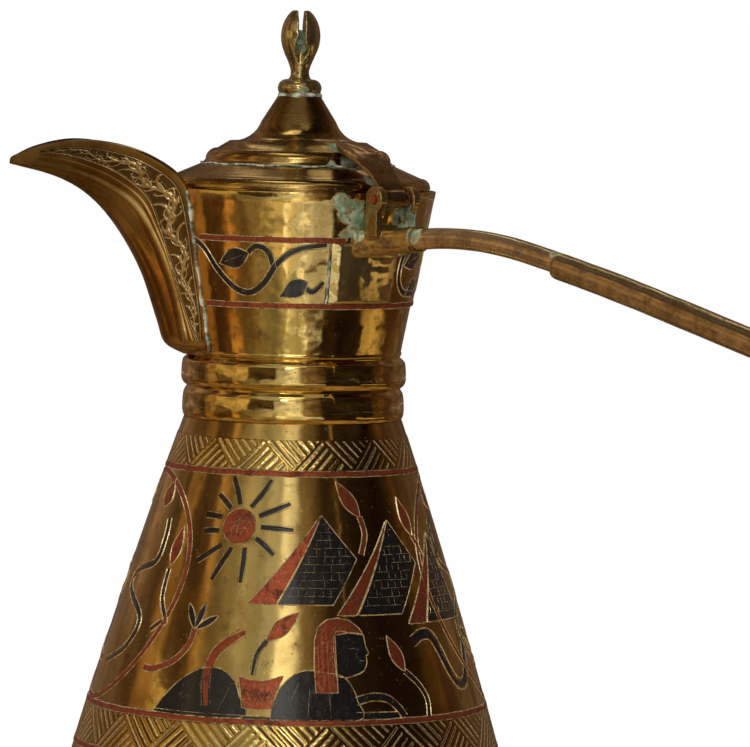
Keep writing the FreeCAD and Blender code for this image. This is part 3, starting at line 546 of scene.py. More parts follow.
def bowlPoints(inset, low, high, count):                  # arc that carries the belly's slope on to the floor
    _, centreR, centreZ = bellyArc()
    inward = Vector((centreR - belly["seamR"], centreZ - belly["seamZ"])).normalized()
    seam = Vector((belly["seamR"], belly["seamZ"]))
    across = Vector((bowl["floorR"], bowl["floorZ"])) - seam
    bend = across.dot(across) / (2 * inward.dot(across))
    centre = seam + inward * bend
    heights = [between(low, high, i / count) for i in range(count + 1)]
    return [(centre.x + math.sqrt((bend - inset) ** 2 - (z - centre.y) ** 2), z) for z in heights]


def bellySide(low, high, inset, count):
    heights = [between(low, high, i / count) for i in range(count + 1)]
    return [(bellyR(z) - inset, z) for z in heights]


def ribSide(low, high, start, end, crest):                # a tight bead, then a face that leans in
    bead = [(share, between(start, crest, way)) for share, way in rib["bead"]]
    face = [(share, crest - fall) for share, fall in rib["face"]]
    back = [(share, between(face[-1][1], end, way)) for share, way in rib["back"]]
    return smoothLine([(r, between(low, high, share)) for share, r in bead + face + back], 4)


def turnedBodies():
    sleeve = [(belly["sleeveR"], belly["topZ"]), (belly["sleeveR"], belly["sleeveZ"]),
              (belly["bore"], belly["sleeveZ"]), (belly["bore"], belly["topZ"] - belly["wall"])]
    inside = bellySide(belly["topZ"] - belly["joggle"], belly["seamZ"], belly["wall"], 30)
    wall = spun("bellyWall", bellySide(belly["seamZ"], belly["topZ"], 0, 60) + sleeve + inside)
    placed(wall, "pot", "polished_brass", finishes["belly"], "belly_shell")
    seam, gap = belly["seamZ"], belly["wall"] + bowl["lapGap"]
    floor, ceiling = bowl["floorZ"], bowl["floorZ"] + bowl["wall"]
    lapOut = bellySide(seam, seam + bowl["lap"], gap, 3)
    lapIn = bellySide(seam + bowl["lap"], seam, gap + bowl["wall"], 3)
    under = bowlPoints(0, floor, seam, 24)
    over = bowlPoints(bowl["wall"], seam - belly["joggle"], ceiling, 18)
    dish = spun("bottomBowl", [(0, floor)] + under + lapOut + lapIn + over + [(0, ceiling)])
    placed(dish, "pot", "polished_brass", finishes["belly"], "bottom_bowl")
    top, inner = foot["r"] - foot["flare"], foot["r"] - foot["width"]
    flare = arcThrough((foot["r"], 0), (top - foot["hollow"], foot["height"] / 2), (top, foot["height"]), 8)
    ring = spun("footRing", softCorners([(inner, 0)] + flare + [(inner, foot["height"])], 0.5))
    placed(ring, "pot", "polished_brass", finishes["belly"], "foot_ring")
    low, middle, high = belly["topZ"], belly["sleeveZ"], neck["footZ"]
    ribs = ribSide(low, middle, belly["topR"] - waist["nip"], waist["grooveR"], waist["lowR"])
    ribs += ribSide(middle, high, waist["grooveR"], neck["footR"], waist["highR"])[1:]
    collar = spun("waistRibs", ribs + [(waist["bore"], high), (waist["bore"], low)])
    placed(collar, "pot", "polished_brass", finishes["ribs"], "waist_collar")
    start, tall, steps = high + waist["rollStart"], waist["rollHeight"], 10
    roll = []
    for i in range(steps + 1):                            # small roll at the neck's foot
        z = start + tall * i / steps
        roll.append((neckR(z) - waist["rollSink"] + waist["roll"] * math.sin(math.pi * i / steps), z))
    back = (neckR(start) - waist["rollDepth"], start + tall / 2)
    placed(spun("neckRoll", roll + [back]), "pot", "polished_brass", finishes["ribs"])
    print("belly, bowl, foot and waist ribs turned")


def neckWall():
    footZ, step, rim = neck["footZ"], neck["stepZ"], neck["rimZ"]
    lipR, lipZ, wall = neck["rimR"] - neck["lip"], rim - neck["lipDepth"], neck["wall"]
    low = [(between(neck["footR"], neckR(step - 0.01), i / 5), between(footZ, step, i / 5)) for i in range(6)]
    high = [(between(neckR(step), neck["rimR"], i / 10), between(step, rim, i / 10)) for i in range(10)]
    corner = [(neck["rimR"] - inset, rim - fall) for inset, fall in neck["rimSoft"]]
    inner = [(lipR, rim), (lipR, lipZ), (neckR(lipZ) - wall, lipZ), (neckR(step) - wall, step)]
    inner += [(belly["bore"], footZ - wall), (belly["bore"], belly["sleeveZ"])]
    outer = [(belly["sleeveR"], belly["sleeveZ"]), (belly["sleeveR"], footZ)] + low + high
    wallPiece = spun("neckWall", outer + corner + inner, 256)
    bpy.ops.object.select_all(action="DESELECT")          # pouring window under the spout
    place = (-window["reach"] * mm, 0, window["z"] * mm)
    bpy.ops.mesh.primitive_cylinder_add(vertices=64, radius=window["r"] * mm, depth=window["depth"] * mm,
                                        location=place, rotation=(0, math.pi / 2, 0))
    cutter = bpy.context.object
    for vertex in cutter.data.vertices:                   # the upper half is drawn up past the rim
        if vertex.co.x < -1e-5:
            vertex.co.x -= window["raise"] * mm
    applied(wallPiece, "BOOLEAN", object=cutter, operation="DIFFERENCE", solver="EXACT")
    bpy.data.objects.remove(cutter)
    closeAndSmooth(wallPiece)
    return placed(wallPiece, "pot", "polished_brass", finishes["neck"], "neck_shell")


def quarter(r, z, size):                                  # round of a corner, from its side to its top
    return arcThrough((r, z - size), (r - arcShare * size, z - arcShare * size), (r - size, z), 5)


def lidPieces():
    edgeZ, sheet, corner = lid["restZ"] + lid["brimEdge"], lid["sheet"], lid["brimCorner"]
    slope = (lid["drumZ"] - edgeZ) / (lid["brimR"] - corner - lid["drumR"])
    hole = lid["drumR"] - lid["overlap"]
    holeZ = lid["drumZ"] + slope * lid["overlap"]
    inside = lid["brimR"] - sheet
    insideZ = lid["drumZ"] + slope * (lid["drumR"] - inside) - sheet
    edge = [(lid["brimR"] - lid["edgeSoft"], lid["restZ"]), (lid["brimR"], lid["restZ"] + lid["edgeSoft"])]
    roof = [(between(lid["brimR"] - corner, hole, i / 8), between(edgeZ, holeZ, i / 8)) for i in range(1, 9)]
    under = [(hole, holeZ - sheet), (inside, insideZ), (inside, lid["restZ"])]
    brim = spun("lidBrim", edge + quarter(lid["brimR"], edgeZ, corner) + roof + under)
    placed(brim, "lid", "aged_brass", finishes["lid"], "lid_brim")
    base = lid["drumZ"] + lid["gap"]
    shoulder = quarter(lid["drumTopR"], lid["drumTopZ"], lid["shoulder"])
    middleR = (lid["coneR"] + lid["coneFootR"]) / 2 - lid["sweep"]
    middleZ = (lid["coneZ"] + lid["coneFootZ"]) / 2 - lid["sweep"]
    sweep = arcThrough((lid["coneR"], lid["coneZ"]), (middleR, middleZ),
                       (lid["coneFootR"], lid["coneFootZ"]), 8)
    topR, topZ, soft = lid["topR"], lid["topZ"], lid["topSoft"]
    top = [(topR, topZ - soft), (topR - soft / 3, topZ - soft / 4), (topR - soft, topZ)]
    hollow = [(lid["hole"], topZ), (lid["hole"], topZ - sheet), (topR - sheet - soft, topZ - sheet),
              (lid["coneFootR"] - lid["footWall"], lid["coneFootZ"] - sheet),
              (middleR - lid["sweepWall"], middleZ - sheet), (lid["coneR"] - sheet, lid["coneZ"] - sheet),
              (lid["drumTopR"] - lid["inner"], lid["drumTopZ"] - lid["inner"] - sheet),
              (lid["drumR"] - sheet, base + slope * sheet)]
    dome = spun("lidDome", [(lid["drumR"], base)] + shoulder + sweep + top + hollow)
    placed(dome, "lid", "aged_brass", finishes["dome"], "lid_dome")
    out, low = lid["skirtR"], lid["restZ"] - lid["skirtDepth"]
    under = lid["drumZ"] - sheet - lid["gap"]
    high, highIn = (under + slope * (lid["drumR"] - r) for r in (out, out - sheet))
    ring = [(out - sheet, low), (out, low), (out, high), (out - sheet, highIn)]
    skirt = spun("lidSkirt", softCorners(ring, lid["skirtSoft"]))
    placed(skirt, "lid", "aged_brass", finishes["lid"], "lid_skirt")
    print("lid turned")


# castings keep the drawn shape, with edges softened as by a mould and a file
castings = {
    "finial": {"name": "forkedFinial", "voxel": 0.20, "passes": 4, "body": "lid", "finish": "finial",
               "scoop": {"reach": 4.9, "z": 229.8, "size": (2.3, 1.5, 4.6), "passes": 2}},
    "handle_bracket": {"name": "handleBracket", "voxel": 0.24, "passes": 5, "body": "pot",
                       "finish": "bracket"},
    "hinge_strap": {"name": "hingeStrap", "voxel": 0.18, "passes": 3, "body": "lid", "finish": "strap"},
}
castSkin = {"height": 0.05, "lumps": 380}                 # millimetres, and lumps to a metre


def remoulded(piece, voxel, passes):
    applied(piece, "REMESH", mode="VOXEL", voxel_size=voxel * mm, use_smooth_shade=True)
    applied(piece, "SMOOTH", factor=0.5, iterations=passes)


def castPiece(node, spec):
    piece = linked(spec["name"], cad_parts[node].data.copy())
    piece.data.name = spec["name"]
    editAll(piece)
    bpy.ops.mesh.remove_doubles(threshold=weld["cast"])
    bpy.ops.object.mode_set(mode="OBJECT")
    remoulded(piece, spec["voxel"], spec["passes"])
    if "scoop" in spec:                                   # hollow on both faces, as filed out by hand
        scoop = spec["scoop"]
        for sign in (1, -1):
            place = toCamera * (sign * scoop["reach"] * mm) + Vector((0, 0, scoop["z"] * mm))
            bpy.ops.mesh.primitive_uv_sphere_add(segments=40, ring_count=24, radius=mm, location=place,
                                                 rotation=(0, 0, math.radians(front)))
            cutter = bpy.context.object
            cutter.scale = scoop["size"]
            applied(piece, "BOOLEAN", object=cutter, operation="DIFFERENCE", solver="EXACT")
            bpy.data.objects.remove(cutter)
        remoulded(piece, spec["voxel"], scoop["passes"])
    bumps = [noise.fractal(v.co * castSkin["lumps"], 1.0, 2.0, 3) for v in piece.data.vertices]
    skin = [v.co + v.normal * (castSkin["height"] * mm * bump) for v, bump in zip(piece.data.vertices, bumps)]
    for vertex, place in zip(piece.data.vertices, skin):  # uneven skin of a sand casting
        vertex.co = place
    return placed(piece, spec["body"], "aged_brass", finishes[spec["finish"]], node)


# handle: a bent rod that goes into a thicker grip
handle = {"azimuth": -65.0, "rootR": 53.0, "rootZ": 181.5, "rise": 5.6, "crownR": 170.0, "crownFall": 9.5,
          "sweepR": 1100.0, "fall": 12.5, "gripR0": 110.5, "gripR1": 202.0, "rodR": 2.75, "gripR": 3.4,
          "seat": (6.0, 3.0, 0.5), "tang": 3.0, "step": 0.5, "past": 0.6, "softEnd": (0.86, 0.95, 0.985, 1.0),
          "cap": 3.2, "capRound": 2.4, "capTip": 0.02}


def rodLine():                                            # distance, height and downward angle along the rod
    r, z, angle = handle["rootR"], handle["rootZ"], -math.radians(handle["rise"])
    line, step = [], handle["step"]
    while r < handle["gripR1"] + handle["past"]:
        line.append((r, z, angle))
        r, z = r + step * math.cos(angle), z - step * math.sin(angle)
        if angle < math.radians(handle["crownFall"]):
            angle += step / handle["crownR"]
        elif angle < math.radians(handle["fall"]):
            angle += step / handle["sweepR"]
    return line


def bar(rings, sides=28, square=2.3, uneven=0.018):       # rings: distance, height, angle, radius, drop
    turn = Matrix.Rotation(math.radians(handle["azimuth"]), 3, "Z")
    mesh, loops = bmesh.new(), []
    for r, z, angle, radius, drop in rings:
        loop = []
        for i in range(sides):
            t = math.tau * i / sides
            c, s = math.cos(t), math.sin(t)
            size = radius / (abs(c) ** square + abs(s) ** square) ** (1 / square)
            size *= 1 + uneven * noise.noise(Vector((r * 0.14, c * 1.3, s * 1.3)))
            up = size * s - drop
            place = Vector((r + up * math.sin(angle), size * c, z + up * math.cos(angle)))
            loop.append(mesh.verts.new(turn @ place * mm))
        loops.append(loop)
    tube(mesh, loops)
    return mesh


def handlePieces():
    line = rodLine()
    rodR, gripR, cap = handle["rodR"], handle["gripR"], handle["cap"]
    angle = -math.radians(handle["rise"])
    seat = [(handle["rootR"] - d * math.cos(angle), handle["rootZ"] + d * math.sin(angle), angle)
            for d in handle["seat"]]
    bare = seat + [p for p in line if p[0] < handle["gripR0"] + handle["tang"]]
    rod = bar([(*p, rodR, 0.0) for p in bare])
    placed(made("handleRod", rod), "pot", "aged_brass", finishes["rod"], "handle_rod")
    grip = [p for p in line if handle["gripR0"] <= p[0] <= handle["gripR1"]]
    drop, soft = gripR - rodR, handle["softEnd"]          # top edges flush, end softened
    sleeve = bar([(*p, gripR * (soft[i] if i < len(soft) else 1.0), drop) for i, p in enumerate(grip)])
    placed(made("gripSleeve", sleeve), "pot", "aged_brass", finishes["sleeve"], "handle_sleeve")
    r, z, angle = grip[-1]
    rings = [(r + cap * t * math.cos(angle), z - cap * t * math.sin(angle), angle,
              gripR * math.sqrt(max(handle["capTip"], 1 - t ** handle["capRound"])), drop)
             for t in (i / 12 for i in range(13))]
    placed(made("gripCap", bar(rings)), "pot", "aged_brass", finishes["sleeve"], "handle_end_cap")
    print("handle bent")


# beak spout: stations as in the casting's drawing
beak = {"halfAngle": 27.0, "wall": 1.5, "bevel": 0.35, "rows": 16, "columns": 26,
        "middle": (-35.0, 0.0, 190.0),
        # on the neck, as shares of its height: keel, edge; then keel's reach, share of the width, nose radius
        "low": ((0.002, 0.01, 1.8, 0.72, 5.5), (0.068, 0.08, 6.4, 0.95, 7.5), (0.21, 0.26, 7.6, 1.0, 8.5),
                (0.465, 0.55, 9.1, 1.0, 8.0), (0.667, 0.79, 12.2, 1.0, 7.2)),
        # past the rim: keel's reach and rise, edge's reach and rise, narrowing, nose radius
        "high": ((15.0, -7.3, -2.8, 1.4, 0.4, 6.2), (20.6, -2.1, 5.6, 7.8, 1.9, 5.0),
                 (26.1, 1.1, 14.6, 11.0, 5.3, 3.8), (31.6, 3.1, 24.0, 11.9, 9.5, 2.5),
                 (37.4, 4.5, 34.2, 10.0, 13.5, 1.3), (41.2, 5.4, 41.0, 6.8, 16.1, 0.5))}
carving = {"from": 0.9, "to": 8.9, "rows": 400, "columns": 96, "between": 40, "beyond": 0.11, "sunk": -0.35,
           "ground": 0.04, "leaf": 0.60, "ridgeHigh": 0.70, "ridgeWide": 1.9,
           "spine": 0.42, "spineHigh": 0.30, "spineWide": 0.6, "beadHigh": 0.6, "lipBead": 0.5,
           "lipBeadHalf": 0.4, "fieldBeadHalf": 0.35, "lipMargin": 0.7, "fieldMargin": 0.3,
           "edgeSoft": 0.25, "endSoft": 1.2, "half": 3.4,
           # edges of the carving, as shares from lip to keel, from the foot to the tip
           "lip": (0.11, 0.07, 0.055, 0.065, 0.095, 0.14, 0.13),
           "field": (0.21, 0.34, 0.405, 0.425, 0.43, 0.41, 0.30),
           "ridge": (0.46, 0.45, 0.51, 0.61, 0.70, 0.75, 0.78)}
# scroll: sway of its stem, half widths, and the heading, bend and length of its curls and leaves
scroll = {"pitch": 7.2, "sway": 1.5, "bold": 0.72, "fine": 0.62, "big": (0.15, 0.55, 8.8),
          "small": (1.0, 0.62, 7.4), "smallAt": 0.35, "leaf": ((0.8, 1.25), (0.40, 0.75), (2.8, 4.8)),
          "leafStep": (0.84, 1.575)}


def beakStations():
    spread = math.radians(beak["halfAngle"])
    rise, rim = neck["rimZ"] - neck["footZ"], neck["rimR"]
    stations = []
    for share, edgeShare, reach, width, nose in beak["low"]:
        keelZ, edgeZ = neck["footZ"] + share * rise, neck["footZ"] + edgeShare * rise
        stations.append((neckR(keelZ) + reach, keelZ, neckR(edgeZ) * math.cos(spread), edgeZ,
                         neckR(edgeZ) * math.sin(spread) * width, nose))
    for reach, up, edgeReach, edgeUp, narrow, nose in beak["high"]:
        stations.append((rim + reach, neck["rimZ"] + up, rim + edgeReach, neck["rimZ"] + edgeUp,
                         rim * math.sin(spread) - narrow, nose))
    return stations


def beakPoint(station, share, side):                      # share 0 at the lip, 1 at the keel
    keelR, keelZ, edgeR, edgeZ, half, nose = station
    depth = math.hypot(edgeR - keelR, edgeZ - keelZ)
    upR, upZ = (edgeR - keelR) / depth, (edgeZ - keelZ) / depth
    lean = math.atan2(half, depth - nose) - math.asin(min(0.98, nose / math.hypot(half, depth - nose)))
    touch = (nose * math.cos(lean), nose - nose * math.sin(lean))
    straight = math.hypot(half - touch[0], depth - touch[1])
    along = share * (straight + nose * (math.pi / 2 - lean))
    if along < straight:
        across, height = between(half, touch[0], along / straight), between(depth, touch[1], along / straight)
    else:
        t = -lean - (along - straight) / nose
        across, height = nose * math.cos(t), nose + nose * math.sin(t)
    return Vector((-(keelR + upR * height), side * across, keelZ + upZ * height)) * mm


def spoutBody():
    stations = smoothLine(beakStations(), beak["rows"])
    count = beak["columns"]
    mesh = bmesh.new()
    rows = []
    for station in stations:
        left = [beakPoint(station, i / count, -1) for i in range(count + 1)]
        right = [beakPoint(station, i / count, 1) for i in range(count)]
        rows.append([mesh.verts.new(p) for p in left + right[::-1]])
    gridFaces(mesh, rows)
    piece = made("beakSpout", mesh)
    middle = Vector(beak["middle"]) * mm
    if sum(face.normal.dot(face.center - middle) for face in piece.data.polygons) < 0:
        piece.data.flip_normals()
    applied(piece, "SOLIDIFY", thickness=beak["wall"] * mm, offset=-1.0)
    applied(piece, "BEVEL", width=beak["bevel"] * mm, segments=3, limit_method="ANGLE",
            angle_limit=math.radians(50))
    bpy.ops.object.shade_smooth_by_angle(angle=math.radians(40))
    return placed(piece, "pot", "aged_brass", finishes["cast"], "spout")


def curl(start, heading, bend, length, wide):             # winds tighter: along, across, half width
    (a, b), line, count = start, [], 14
    for i in range(count + 1):
        t = i / count
        line.append((a, b, wide * (1 - 0.55 * t)))
        heading += bend * (0.25 + 1.9 * t * t) * length / count
        a, b = a + math.cos(heading) * length / count, b + math.sin(heading) * length / count
    return line


def scrollStrokes(length):                                # in millimetres from the cheek's middle line
    pitch, steps = scroll["pitch"], 200

    def stem(a):
        return scroll["sway"] * math.sin(math.pi * a / pitch)

    strokes = [[(length * i / steps, stem(length * i / steps), scroll["bold"]) for i in range(steps + 1)]]
    for k in range(int(length / pitch) + 1):              # a big and a small curl in each bow of the stem
        side = -1 if k % 2 else 1
        root = (k - 0.05) * pitch
        for size, wide in (("big", "bold"), ("small", "fine")):
            heading, bend, reach = scroll[size]
            strokes.append(curl((root, stem(root)), side * heading, -side * bend, reach, scroll[wide]))
            root += scroll["smallAt"] * pitch
    a, side = 0.8, 1
    while a < length - 1:                                 # small leaves on both sides
        slope = math.atan2(stem(a + 0.1) - stem(a - 0.1), 0.2)
        heading, bend, reach = (rng.uniform(*limits) for limits in scroll["leaf"])
        strokes.append(curl((a, stem(a)), slope + side * heading, -side * bend, reach, scroll["fine"]))
        a, side = a + rng.uniform(*scroll["leafStep"]), -side
    return strokes


def leafHeight(strokes, a, b):                            # 1 on a stroke's middle line, 0 past its edges
    height = 0.0
    for (a0, b0, w0), (a1, b1, w1) in strokes:
        da, db, pa, pb = a1 - a0, b1 - b0, a - a0, b - b0
        t = max(0, min(1, (pa * da + pb * db) / (da * da + db * db + 1e-9)))
        height = max(height, 1 - (math.hypot(pa - t * da, pb - t * db) / between(w0, w1, t)) ** 2)
    return height


def carvedCheek(side):
    fine, rows, columns = carving["between"], carving["rows"], carving["columns"]
    stations = smoothLine(beakStations(), fine)
    places = [between(carving["from"], carving["to"], i / rows) * fine for i in range(rows + 1)]

    def skin(place, share):
        i = min(int(place), len(stations) - 2)
        station = [between(a, b, place - i) for a, b in zip(stations[i], stations[i + 1])]
        return beakPoint(station, share, side)

    def outward(place, share):
        ahead = skin(place + 0.6, share) - skin(place - 0.6, share)
        down = skin(place, share + 0.01) - skin(place, share - 0.01)
        normal = ahead.cross(down).normalized()
        return -normal if normal.y * side < 0 else normal

    def edgeLine(key):                                    # one share for each row
        line = [p[0] for p in smoothLine([(share,) for share in carving[key]], 100)]
        return [line[i * (len(line) - 1) // rows] for i in range(rows + 1)]

    lips, fields, ridges = (edgeLine(key) for key in ("lip", "field", "ridge"))
    centre = [skin(place, (lips[i] + fields[i]) / 2) for i, place in enumerate(places)]
    along = [0.0]
    for a, b in zip(centre, centre[1:]):
        along.append(along[-1] + (b - a).length / mm)
    buckets = {}                                          # pieces of stroke by the millimetre they pass
    for stroke in scrollStrokes(along[-1]):
        for start, end in zip(stroke, stroke[1:]):
            low, high = sorted((start[0], end[0]))
            for key in range(int(low) - 1, int(high) + 2):
                buckets.setdefault(key, []).append((start, end))
    mesh = bmesh.new()
    layer = mesh.verts.layers.float.new("relief")
    grid = []
    for i, place in enumerate(places):
        lip, field, ridge = lips[i], fields[i], ridges[i]
        scale = (skin(place, lip) - skin(place, ridge)).length / mm / (ridge - lip)
        middle, half = (lip + field) / 2, (field - lip) * scale / 2 / carving["half"]
        ends = min(along[i], along[-1] - along[i])
        fade = min(1, 1.5 - 1.5 * i / rows)
        strokes = buckets.get(int(along[i]), ())
        line = []
        for j in range(columns + 1):
            share = between(lip, ridge + carving["beyond"], j / columns)
            lipEdge, fieldEdge, ridgeEdge = ((share - s) * scale for s in (lip, field, ridge))
            leaf = 0.0
            if fieldEdge < 0:
                leaf = leafHeight(strokes, along[i], (share - middle) * scale / half)
                margin = min(lipEdge - carving["lipMargin"], -fieldEdge - carving["fieldMargin"])
                leaf *= max(0, min(1, 2 * margin))
            fromBead = (lipEdge - carving["lipBead"]) / carving["lipBeadHalf"]
            bead = max(0, 1 - fromBead ** 2, 1 - (fieldEdge / carving["fieldBeadHalf"]) ** 2)
            bead *= carving["beadHigh"]
            crest = fade * max(0, 1 - (ridgeEdge / carving["ridgeWide"]) ** 2) ** 2
            fromSpine = fieldEdge - carving["spine"] * (ridge - field) * scale
            spine = fade * max(0, 1 - (fromSpine / carving["spineWide"]) ** 2)
            lift = carving["ground"] + max(carving["leaf"] * max(leaf, bead), carving["ridgeHigh"] * crest,
                                           carving["spineHigh"] * spine)
            far = (ridge + carving["beyond"] - share) * scale
            shown = min(1, lipEdge / carving["edgeSoft"], far / carving["edgeSoft"])
            height = between(carving["sunk"], lift, shown * min(1, ends / carving["endSoft"]))
            vertex = mesh.verts.new(skin(place, share) + outward(place, share) * mm * height)
            vertex[layer] = max(leaf, bead) if fieldEdge < 0 else 2.0       # 2 marks metal left plain
            line.append(vertex)
        grid.append(line)
    gridFaces(mesh, grid)
    piece = made("leftCarving" if side < 0 else "rightCarving", mesh, 80)
    if sum(face.normal.y for face in piece.data.polygons) * side < 0:
        piece.data.flip_normals()
    return placed(piece, "pot", "aged_brass", finishes["carving"])


# ornament is drawn on the pot's skin: degrees from the front, height in millimetres
def onSkin(radiusAt, phi, z, lift):
    return turned(front + phi, radiusAt(z) + lift, z)


def lineSides(points, radiusAt, closed):                  # place and unit normal at each point of a line
    sides, count = [], len(points)
    for i, (phi, z) in enumerate(points):
        a = points[i - 1] if closed else points[max(0, i - 1)]
        b = points[(i + 1) % count] if closed else points[min(count - 1, i + 1)]
        scale = math.radians(1) * radiusAt(z)
        dx, dz = (b[0] - a[0]) * scale, b[1] - a[1]
        size = math.hypot(dx, dz) or 1
        sides.append((phi, z, -dz / size / scale, dx / size))
    return sides


def skinLoop(mesh, radiusAt, side, section):              # one cross-section of a line, laid on the skin
    phi, z, nx, nz = side
    return [mesh.verts.new(onSkin(radiusAt, phi + nx * d, z + nz * d, lift)) for d, lift in section]


def addStroke(mesh, points, widths, radiusAt, low, high, closed=False):
    loops, count = [], len(points) - 1
    for i, side in enumerate(lineSides(points, radiusAt, closed)):
        share = i / count * (len(widths) - 1)
        k = min(int(share), len(widths) - 2) if len(widths) > 1 else 0
        half = (between(widths[k], widths[k + 1], share - k) if len(widths) > 1 else widths[0]) / 2
        flat, shoulder = relief["flat"] * half, high - relief["shoulder"]
        section = ((-half, low), (-flat, shoulder), (0, high), (flat, shoulder), (half, low))
        loops.append(skinLoop(mesh, radiusAt, side, section))
    tube(mesh, loops, closed)


def addRidge(mesh, points, offset, half, radiusAt, high, closed=False, beads=0.0):
    loops, last = [], len(points) - 1
    for i, side in enumerate(lineSides(points, radiusAt, closed)):
        fade = 1 if closed else min(1, between(relief["endHigh"], 1, min(i, last - i)))
        hand = relief["least"] + relief["uneven"] * rng.random()
        top = high * fade * (1 - beads * (i % 3 == 0)) * hand
        section = ((offset - half, relief["low"]), (offset, top), (offset + half, relief["low"]))
        loops.append(skinLoop(mesh, radiusAt, side, section))
    tube(mesh, loops, closed)


def addPlate(mesh, outline, radiusAt, low, high):
    middle = sum(z for _, z in outline) / len(outline)
    scale = math.radians(1) * radiusAt(middle)
    flat = bmesh.new()
    face = flat.faces.new([flat.verts.new((phi * scale, z, high)) for phi, z in outline])
    bmesh.ops.triangulate(flat, faces=[face])
    for axis, step in enumerate(relief["bend"]):          # cut up, so that it can bend round the pot
        values = [vertex.co[axis] for vertex in flat.verts]
        cut = math.ceil(min(values) / step) * step
        while cut < max(values):
            at, across = Vector((0, 0, 0)), Vector((0, 0, 0))
            at[axis], across[axis] = cut, 1
            everything = flat.verts[:] + flat.edges[:] + flat.faces[:]
            bmesh.ops.bisect_plane(flat, geom=everything, plane_co=at, plane_no=across, dist=1e-5)
            cut += step
    drawn = bmesh.ops.extrude_face_region(flat, geom=flat.faces[:])
    for item in drawn["geom"]:
        if isinstance(item, bmesh.types.BMVert):
            item.co.z = low
    bmesh.ops.recalc_face_normals(flat, faces=flat.faces[:])
    for vertex in flat.verts:
        vertex.co = onSkin(radiusAt, vertex.co.x / scale, vertex.co.y, vertex.co.z)
    data = bpy.data.meshes.new("plate")
    flat.to_mesh(data)
    flat.free()
    mesh.from_mesh(data)
    bpy.data.meshes.remove(data)


# more points along straight sides, to follow the skin
def dense(outline, step, radiusAt, closed=True):
    line, count = [], len(outline)
    for i in range(count if closed else count - 1):
        (a, za), (b, zb) = outline[i], outline[(i + 1) % count]
        length = math.hypot((b - a) * math.radians(1) * radiusAt((za + zb) / 2), zb - za)
        parts = max(1, round(length / step))
        line += [(between(a, b, k / parts), between(za, zb, k / parts)) for k in range(parts)]
    return line if closed else line + [outline[-1]]


def leafOutline(tip, base, wide, radiusAt, lean=0.42):
    (pa, za), (pb, zb) = tip, base
    scale = math.radians(1) * radiusAt((za + zb) / 2)
    axis = Vector(((pb - pa) * scale, zb - za))
    side = Vector((-axis.y, axis.x)).normalized() * wide
    line = []
    for sign in (1, -1):
        shares = [i / 12 for i in range(12)] if sign > 0 else [1 - i / 12 for i in range(12)]
        for t in shares:
            swell = math.sin(math.pi * t ** (math.log(0.5) / math.log(lean)))
            p = axis * t + side * sign * swell
            line.append((pa + p.x / scale, za + p.y))
    return line


# pictures on the belly, seen from the front: degrees and millimetres; the far side repeats all but the figure
sun = {"phi": -20.6, "z": 104.6, "r": 4.4, "width": 1.25, "bend": 0.25, "scratchHalf": 0.22,
       "scratchHigh": 0.34,
       "rays": (((-0.5, 5.6), (-3.7, 12.7)), ((2.7, 5.0), (8.0, 12.3)), ((5.2, 2.8), (13.8, 6.2)),
                ((6.0, 0.0), (14.7, -0.6)), ((4.9, -2.9), (9.8, -7.1)), ((2.3, -5.4), (2.1, -14.5)),
                ((-1.2, -5.6), (-5.4, -14.1)), ((-4.2, -5.0), (-10.3, -9.5)), ((-5.5, -1.5), (-10.1, -1.9)),
                ((-5.2, 2.1), (-10.5, 2.5)), ((-3.2, 4.6), (-7.5, 7.9))),
       "scratches": (((-2.6, -1.8), (0.4, 2.6)), ((-0.6, -2.8), (-0.2, 1.0)), ((0.6, -2.2), (2.6, 1.4)),
                     ((-1.8, 1.0), (1.6, 1.6)), ((1.0, -0.4), (2.8, -0.6)))}
pyramids = (
    {"apex": (12.7, 107.6), "left": (-13.7, 85.0), "split": (-4.0, 85.0),
     "right": (15.0, 85.0), "corner": (25.2, 96.6)},
    {"apex": (42.1, 106.1), "left": (16.6, 82.3), "split": (23.5, 82.3),
     "right": (41.0, 82.3), "corner": (53.0, 95.0)},
    {"apex": (66.5, 102.1), "left": (43.4, 79.5), "split": (52.0, 79.5),
     "right": (76.9, 79.5), "corner": (76.9, 79.5)},
)
stones = {"seam": 0.55, "rows": 11, "shake": 0.12, "long": (3.0, 9.0), "gap": (0.2, 0.7),
          "joint": (2.4, 3.4), "lineHalf": 0.15, "lineHigh": 0.07, "jointHalf": 0.13, "jointHigh": 0.06,
          "shift": 1.2, "least": 0.8, "cut": 0.8, "jointFirst": 1.2, "stagger": 1.5, "jointLeast": 1.0,
          "jointCut": 0.72, "jointLean": 0.2, "jointTall": 0.85}
buds = (
    {"tip": (19.9, 116.5), "foot": (29.0, 107.5), "stem": ((29.0, 107.5), (30.2, 103.0), (27.6, 97.7)),
     "copperStem": True},
    {"tip": (3.3, 83.0), "foot": (-6.6, 75.6), "stem": ((-6.6, 75.6), (-9.6, 72.0), (-10.6, 66.7)),
     "copperStem": False},
    {"tip": (33.2, 76.6), "foot": (38.0, 67.5),
     "stem": ((38.0, 67.5), (42.5, 64.0), (45.0, 60.0), (44.6, 55.5)), "copperStem": False},
    {"tip": (50.5, 112.0), "foot": (55.0, 102.0), "stem": ((55.0, 102.0), (57.5, 99.0), (58.5, 96.5)),
     "copperStem": True},
    {"tip": (-46.4, 103.4), "foot": (-48.4, 93.2),
     "stem": ((-48.8, 92.2), (-48.4, 84.6), (-44.2, 78.8), (-46.5, 78.4), (-50.3, 76.2)),
     "copperStem": False},
)
budShape = {"wide": 1.75, "lean": 0.55, "stem": (1.2, 1.0, 0.7)}
